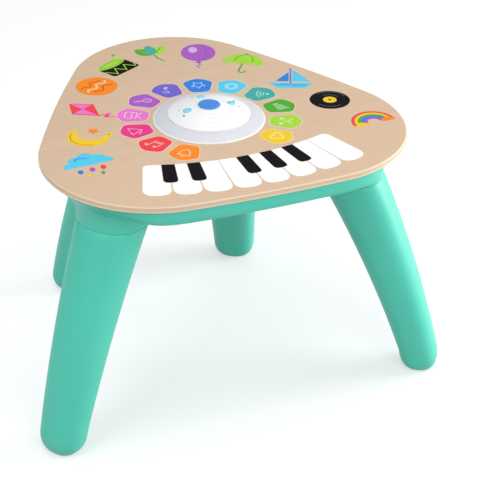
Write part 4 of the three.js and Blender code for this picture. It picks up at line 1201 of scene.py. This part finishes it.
def motif_shapes():
    """Generic pictures: where each stands, and its shapes as ink, outline and layer."""
    scallops = ellipse(0, 2, 24, None, 180, 0, 24)
    for i in range(4):
        scallops += ellipse(18 - 12 * i, 2, 6, 3.4, 0, -180, 6)[1:]
    wavy = [(-18 + i, 3 * sin(i * 0.35)) for i in range(37)]
    tail = [(6, -26), (10, -31), (6, -36), (11, -42)]
    crescent = ellipse(0, 0, 24, None, 78.3, 353.3, 36) + ellipse(9, 6.5, 17.5, None, 326, 105, 30)
    drops = [("royal", -13, -8, 12, 7), ("purple", 1, -8, 12, 7), ("red", 14, -8, 12, 7)]
    drops += [("yellow", -7, -21, 9, 5), ("green", 8, -21, 9, 5)]
    grooves = [(13, 20, 100), (17.5, 200, 290), (20.5, 10, 110)]
    return [
        ((0, 213, 0, 1.15), [
            ("green", leaf(0, -6, 30, 19, 128), 0), ("lime", leaf(0, -6, 30, 19, 52), 0),
            ("sea", leaf(0, -6, 30, 15, 90), 1), ("green", stroke([(0, -6), (1, -16), (5, -24)], 2.4), 0),
            ("lime", stroke([(-14, 12), (-5, 0)], 1), 2), ("green", stroke([(14, 12), (5, 0)], 1), 2),
        ]),
        ((-58, 185, 0.5, 1.22), [
            ("black", rounded([(-20, -13), (20, -13), (20, 12), (-20, 12)], 4), 0),
            ("lime", ellipse(0, 12, 20, 7), 1), ("green", stroke(looped(ellipse(0, 12, 16, 4.6)), 0.9), 2),
            ("lime", stroke([(-19, 2), (-12, -10), (-5, 2), (2, -10), (9, 2), (16, -10), (19, -5)], 1.3), 1),
            ("lime", stroke([(3, 14), (20, 27)], 1.8), 0), ("lime", ellipse(20.5, 27.5, 3), 0),
        ]),
        ((-104, 140, 0.7, 1.1), [
            ("orange", ellipse(0, 0, 25), 0), ("pale_orange", stroke(wavy, 3.2), 1),
            ("deep_orange", stroke([(x, y - 9) for x, y in wavy[3:34]], 2.4), 1),
            ("deep_orange", stroke([(x, y + 9) for x, y in wavy[3:34]], 2.4), 1),
        ]),
        ((-140, 79, 0.5, 1.02), [
            ("red", rounded([(0, 27), (19, 3), (0, -26), (-19, 3)], 2), 0),
            ("pink", rounded([(0, 24), (16.5, 3), (0, 3)], 1.2), 1),
            ("pink", rounded([(0, 3), (0, -22.5), (-16.5, 3)], 1.2), 1),
            ("red", stroke([(0, -26), *tail], 1.4), 0), ("pink", leaf(9, -31, 8, 6, 20), 0),
            ("magenta", leaf(9, -31, 8, 6, 200), 0),
        ]),
        ((-158, 6, 0.3, 1.1), [
            ("yellow", crescent, 0), ("orange", rounded(star(12, 8, 8.5, 4), 1), 0),
            ("yellow", rounded(star(24, -10, 5, 2.3), 0.6), 0),
            ("deep_orange", stroke(ellipse(0, 0, 20.5, None, 120, 250, 20), 1), 1),
        ]),
        ((-180, -62, 0.12, 1.1), [
            ("cyan", cloud(0, 6, 13), 0), ("royal", stroke(ellipse(-4, 8, 8, None, 150, 30, 12), 1.6), 1),
            *[(name, leaf(*shape, 250), 0) for name, *shape in drops],
        ]),
        ((57, 187, -0.35, 1.25), [
            ("purple", ellipse(0, 5, 19, 22.5), 0), ("pale_purple", ellipse(-6, 12, 5, 7.5), 1),
            ("indigo", stroke(ellipse(0, 5, 9, 22, -88, 88, 24), 1.1), 1),
            ("purple", rounded([(0, -15.5), (4, -22), (-4, -22)], 1), 0),
            ("indigo", stroke([(0, -21), (2, -26), (-2, -30), (1, -35)], 1.1), 0),
        ]),
        ((102, 138, -0.6, 1.18), [
            ("lime", scallops, 0),
            ("green", stroke([(0, 0), (0, -20), (3, -24), (7, -22), (7.5, -19)], 2), 0),
            ("green", stroke(ellipse(0, 2, 11, 23.5, 168, 12, 24), 1.1), 1), ("green", ellipse(0, 27, 2), 0),
        ]),
        ((143, 68, -0.4, 1.25), [
            ("cyan", rounded([(-24, -8), (24, -8), (15, -20), (-15, -20)], 3), 0),
            ("cyan", rounded([(2, -4), (2, 26), (21, -4)], 2), 0),
            ("royal", stroke([(0, -8), (0, 28)], 1.6), 0),
            ("royal", rounded([(-2, -4), (-2, 19), (-16, -4)], 2), 0),
            ("royal", stroke([(-16, -14), (-5, -12), (5, -14), (16, -12)], 1.2), 1),
        ]),
        ((166, -6, 0, 1.12), [
            ("black", ellipse(0, 0, 23.5), 0), ("yellow", ellipse(0, 0, 8), 1),
            ("black", ellipse(0, 0, 1.6), 2),
            *[("grey", stroke(ellipse(0, 0, r, None, start, end, 16), 0.8), 1) for r, start, end in grooves],
        ]),
        ((191, -73, 0.1, 1), [
            (name, half_ring(0, -10, 8 + 4.2 * i, 12.2 + 4.2 * i), 0)
            for i, name in enumerate(("purple", "royal", "green", "yellow", "red"))
        ] + [("yellow", cloud(-19, -12, 4.6), 1), ("orange", cloud(19, -12, 4.6), 1)]),
    ]


def motifs():
    """The pictures as one piece for each ink, a layer above the first sunk a little into the one below."""
    layer_height = 0.12
    by_ink = {}
    for place, shapes in motif_shapes():
        for name, points, layer in shapes:
            low = SURFACE + (layer * layer_height - SINK if layer else 0) * MM
            high = SURFACE + (layer + 1) * layer_height * MM
            by_ink.setdefault(name, []).append((points, place, low, high))
    for name, outlines in by_ink.items():
        finish_piece(sheet(f"pictures_in_{name}", outlines), motif_inks[name], [])


def dome_marks():
    """Small plain marks beside the three outer buttons, lying on the dome."""
    def on_dome(lift):
        return lambda x, y: dome_height(hypot(x, y - TOP_CENTRE_Y)) + lift

    reach = 38.2
    triangle = rounded(star(0, 0, 1.7, 1.5, 3), 0.2)
    bar = stroke([(-1.2, 0), (1.2, 0)], 0.9)
    outlines = []
    for turn in (180, 90, 0):
        for side, shape in ((13, triangle), (-13, bar)):
            angle = radians(turn + side)
            place = (reach * cos(angle), reach * sin(angle), angle - pi / 2, 1)
            outlines.append((shape, place, on_dome(-0.2 * MM), on_dome(0.05 * MM)))
    finish_piece(sheet("dome_marks", outlines), key_black, [])


white_keys()
black_keys()
pads()
icons()
motifs()
dome_marks()


# Floor, lamps and camera


def pale_floor():
    """A floor that looks nearly white to the camera and throws back less light on the object."""
    floor = added("studio_floor", bpy.ops.mesh.primitive_plane_add, size=12)
    finish = Finish("studio_floor", roughness=0.9)
    seen = finish.either_ray("Is Camera Ray", "Is Glossy Ray")
    tone = finish.mix(seen, (0.42, 0.43, 0.43, 1), (0.92, 0.93, 0.94, 1))
    finish.link(tone, finish.shader.inputs["Base Color"])
    share = finish.add("ShaderNodeMath", operation="MULTIPLY")
    share.inputs[1].default_value = 0.42
    finish.link(seen, share.inputs[0])
    glow = finish.add("ShaderNodeEmission", Color=WHITE, Strength=1.25)
    pale = finish.blend(share.outputs[0], finish.shader.outputs[0], glow.outputs[0])
    # From below, the floor is clear, so that the underside can be seen
    clear = finish.add("ShaderNodeBsdfTransparent")
    facing = finish.add("ShaderNodeNewGeometry")
    one_sided = finish.blend(facing.outputs["Backfacing"], pale, clear.outputs[0])
    finish.link(one_sided, finish.nodes["Material Output"].inputs["Surface"])
    floor.data.materials.append(finish.material)


def soft_lamp(name, place, size, energy):
    """A square lamp that points at the middle of the table."""
    middle = Vector((0, 0, 0.25))
    lamp = bpy.data.lights.new(name, "AREA")
    lamp.energy = energy
    lamp.size = size
    holder = bpy.data.objects.new(name, lamp)
    holder.location = place
    holder.rotation_euler = (middle - Vector(place)).to_track_quat("-Z", "Y").to_euler()
    bpy.context.collection.objects.link(holder)


def studio():
    """Dim light from all round, a white backdrop, and four lamps."""
    world = bpy.data.worlds.new("studio")
    bpy.context.scene.world = world
    world.use_nodes = True
    tree = Tree(world.node_tree)
    ambient = tree.nodes["Background"]
    ambient.inputs["Color"].default_value = (0.95, 0.97, 1, 1)
    ambient.inputs["Strength"].default_value = 0.37
    backdrop = tree.add("ShaderNodeBackground", Color=WHITE)
    seen = tree.either_ray("Is Camera Ray", "Is Transmission Ray")
    sky = tree.blend(seen, ambient.outputs[0], backdrop.outputs[0])
    tree.link(sky, tree.nodes["World Output"].inputs["Surface"])
    soft_lamp("key_lamp", (2.3, -0.4, 0.75), 1.4, 50)
    soft_lamp("left_lamp", (-1.7, -0.7, 1.9), 1.4, 19)
    soft_lamp("front_lamp", (0.2, -2.2, 1.4), 1.2, 17)
    soft_lamp("top_lamp", (0, 0.3, 2.4), 1.8, 17)


def photo_camera():
    turn, rise, roll = CAMERA_TURN, CAMERA_RISE, CAMERA_ROLL
    back = Vector((sin(turn) * cos(rise), -cos(turn) * cos(rise), sin(rise)))
    level = Vector((cos(turn), sin(turn), 0))
    upright = back.cross(level)
    right = cos(roll) * level + sin(roll) * upright
    up = -sin(roll) * level + cos(roll) * upright
    lens = bpy.data.cameras.new("photo_camera")
    lens.lens = CAMERA_LENS
    lens.sensor_width = 36
    lens.clip_end = 50
    camera = bpy.data.objects.new("photo_camera", lens)
    axes = Matrix((right, up, back)).transposed().to_4x4()
    camera.matrix_world = Matrix.Translation(CAMERA_PLACE) @ axes
    bpy.context.collection.objects.link(camera)
    bpy.context.scene.camera = camera


pale_floor()
studio()
photo_camera()
bpy.context.scene.view_settings.view_transform = "Standard"
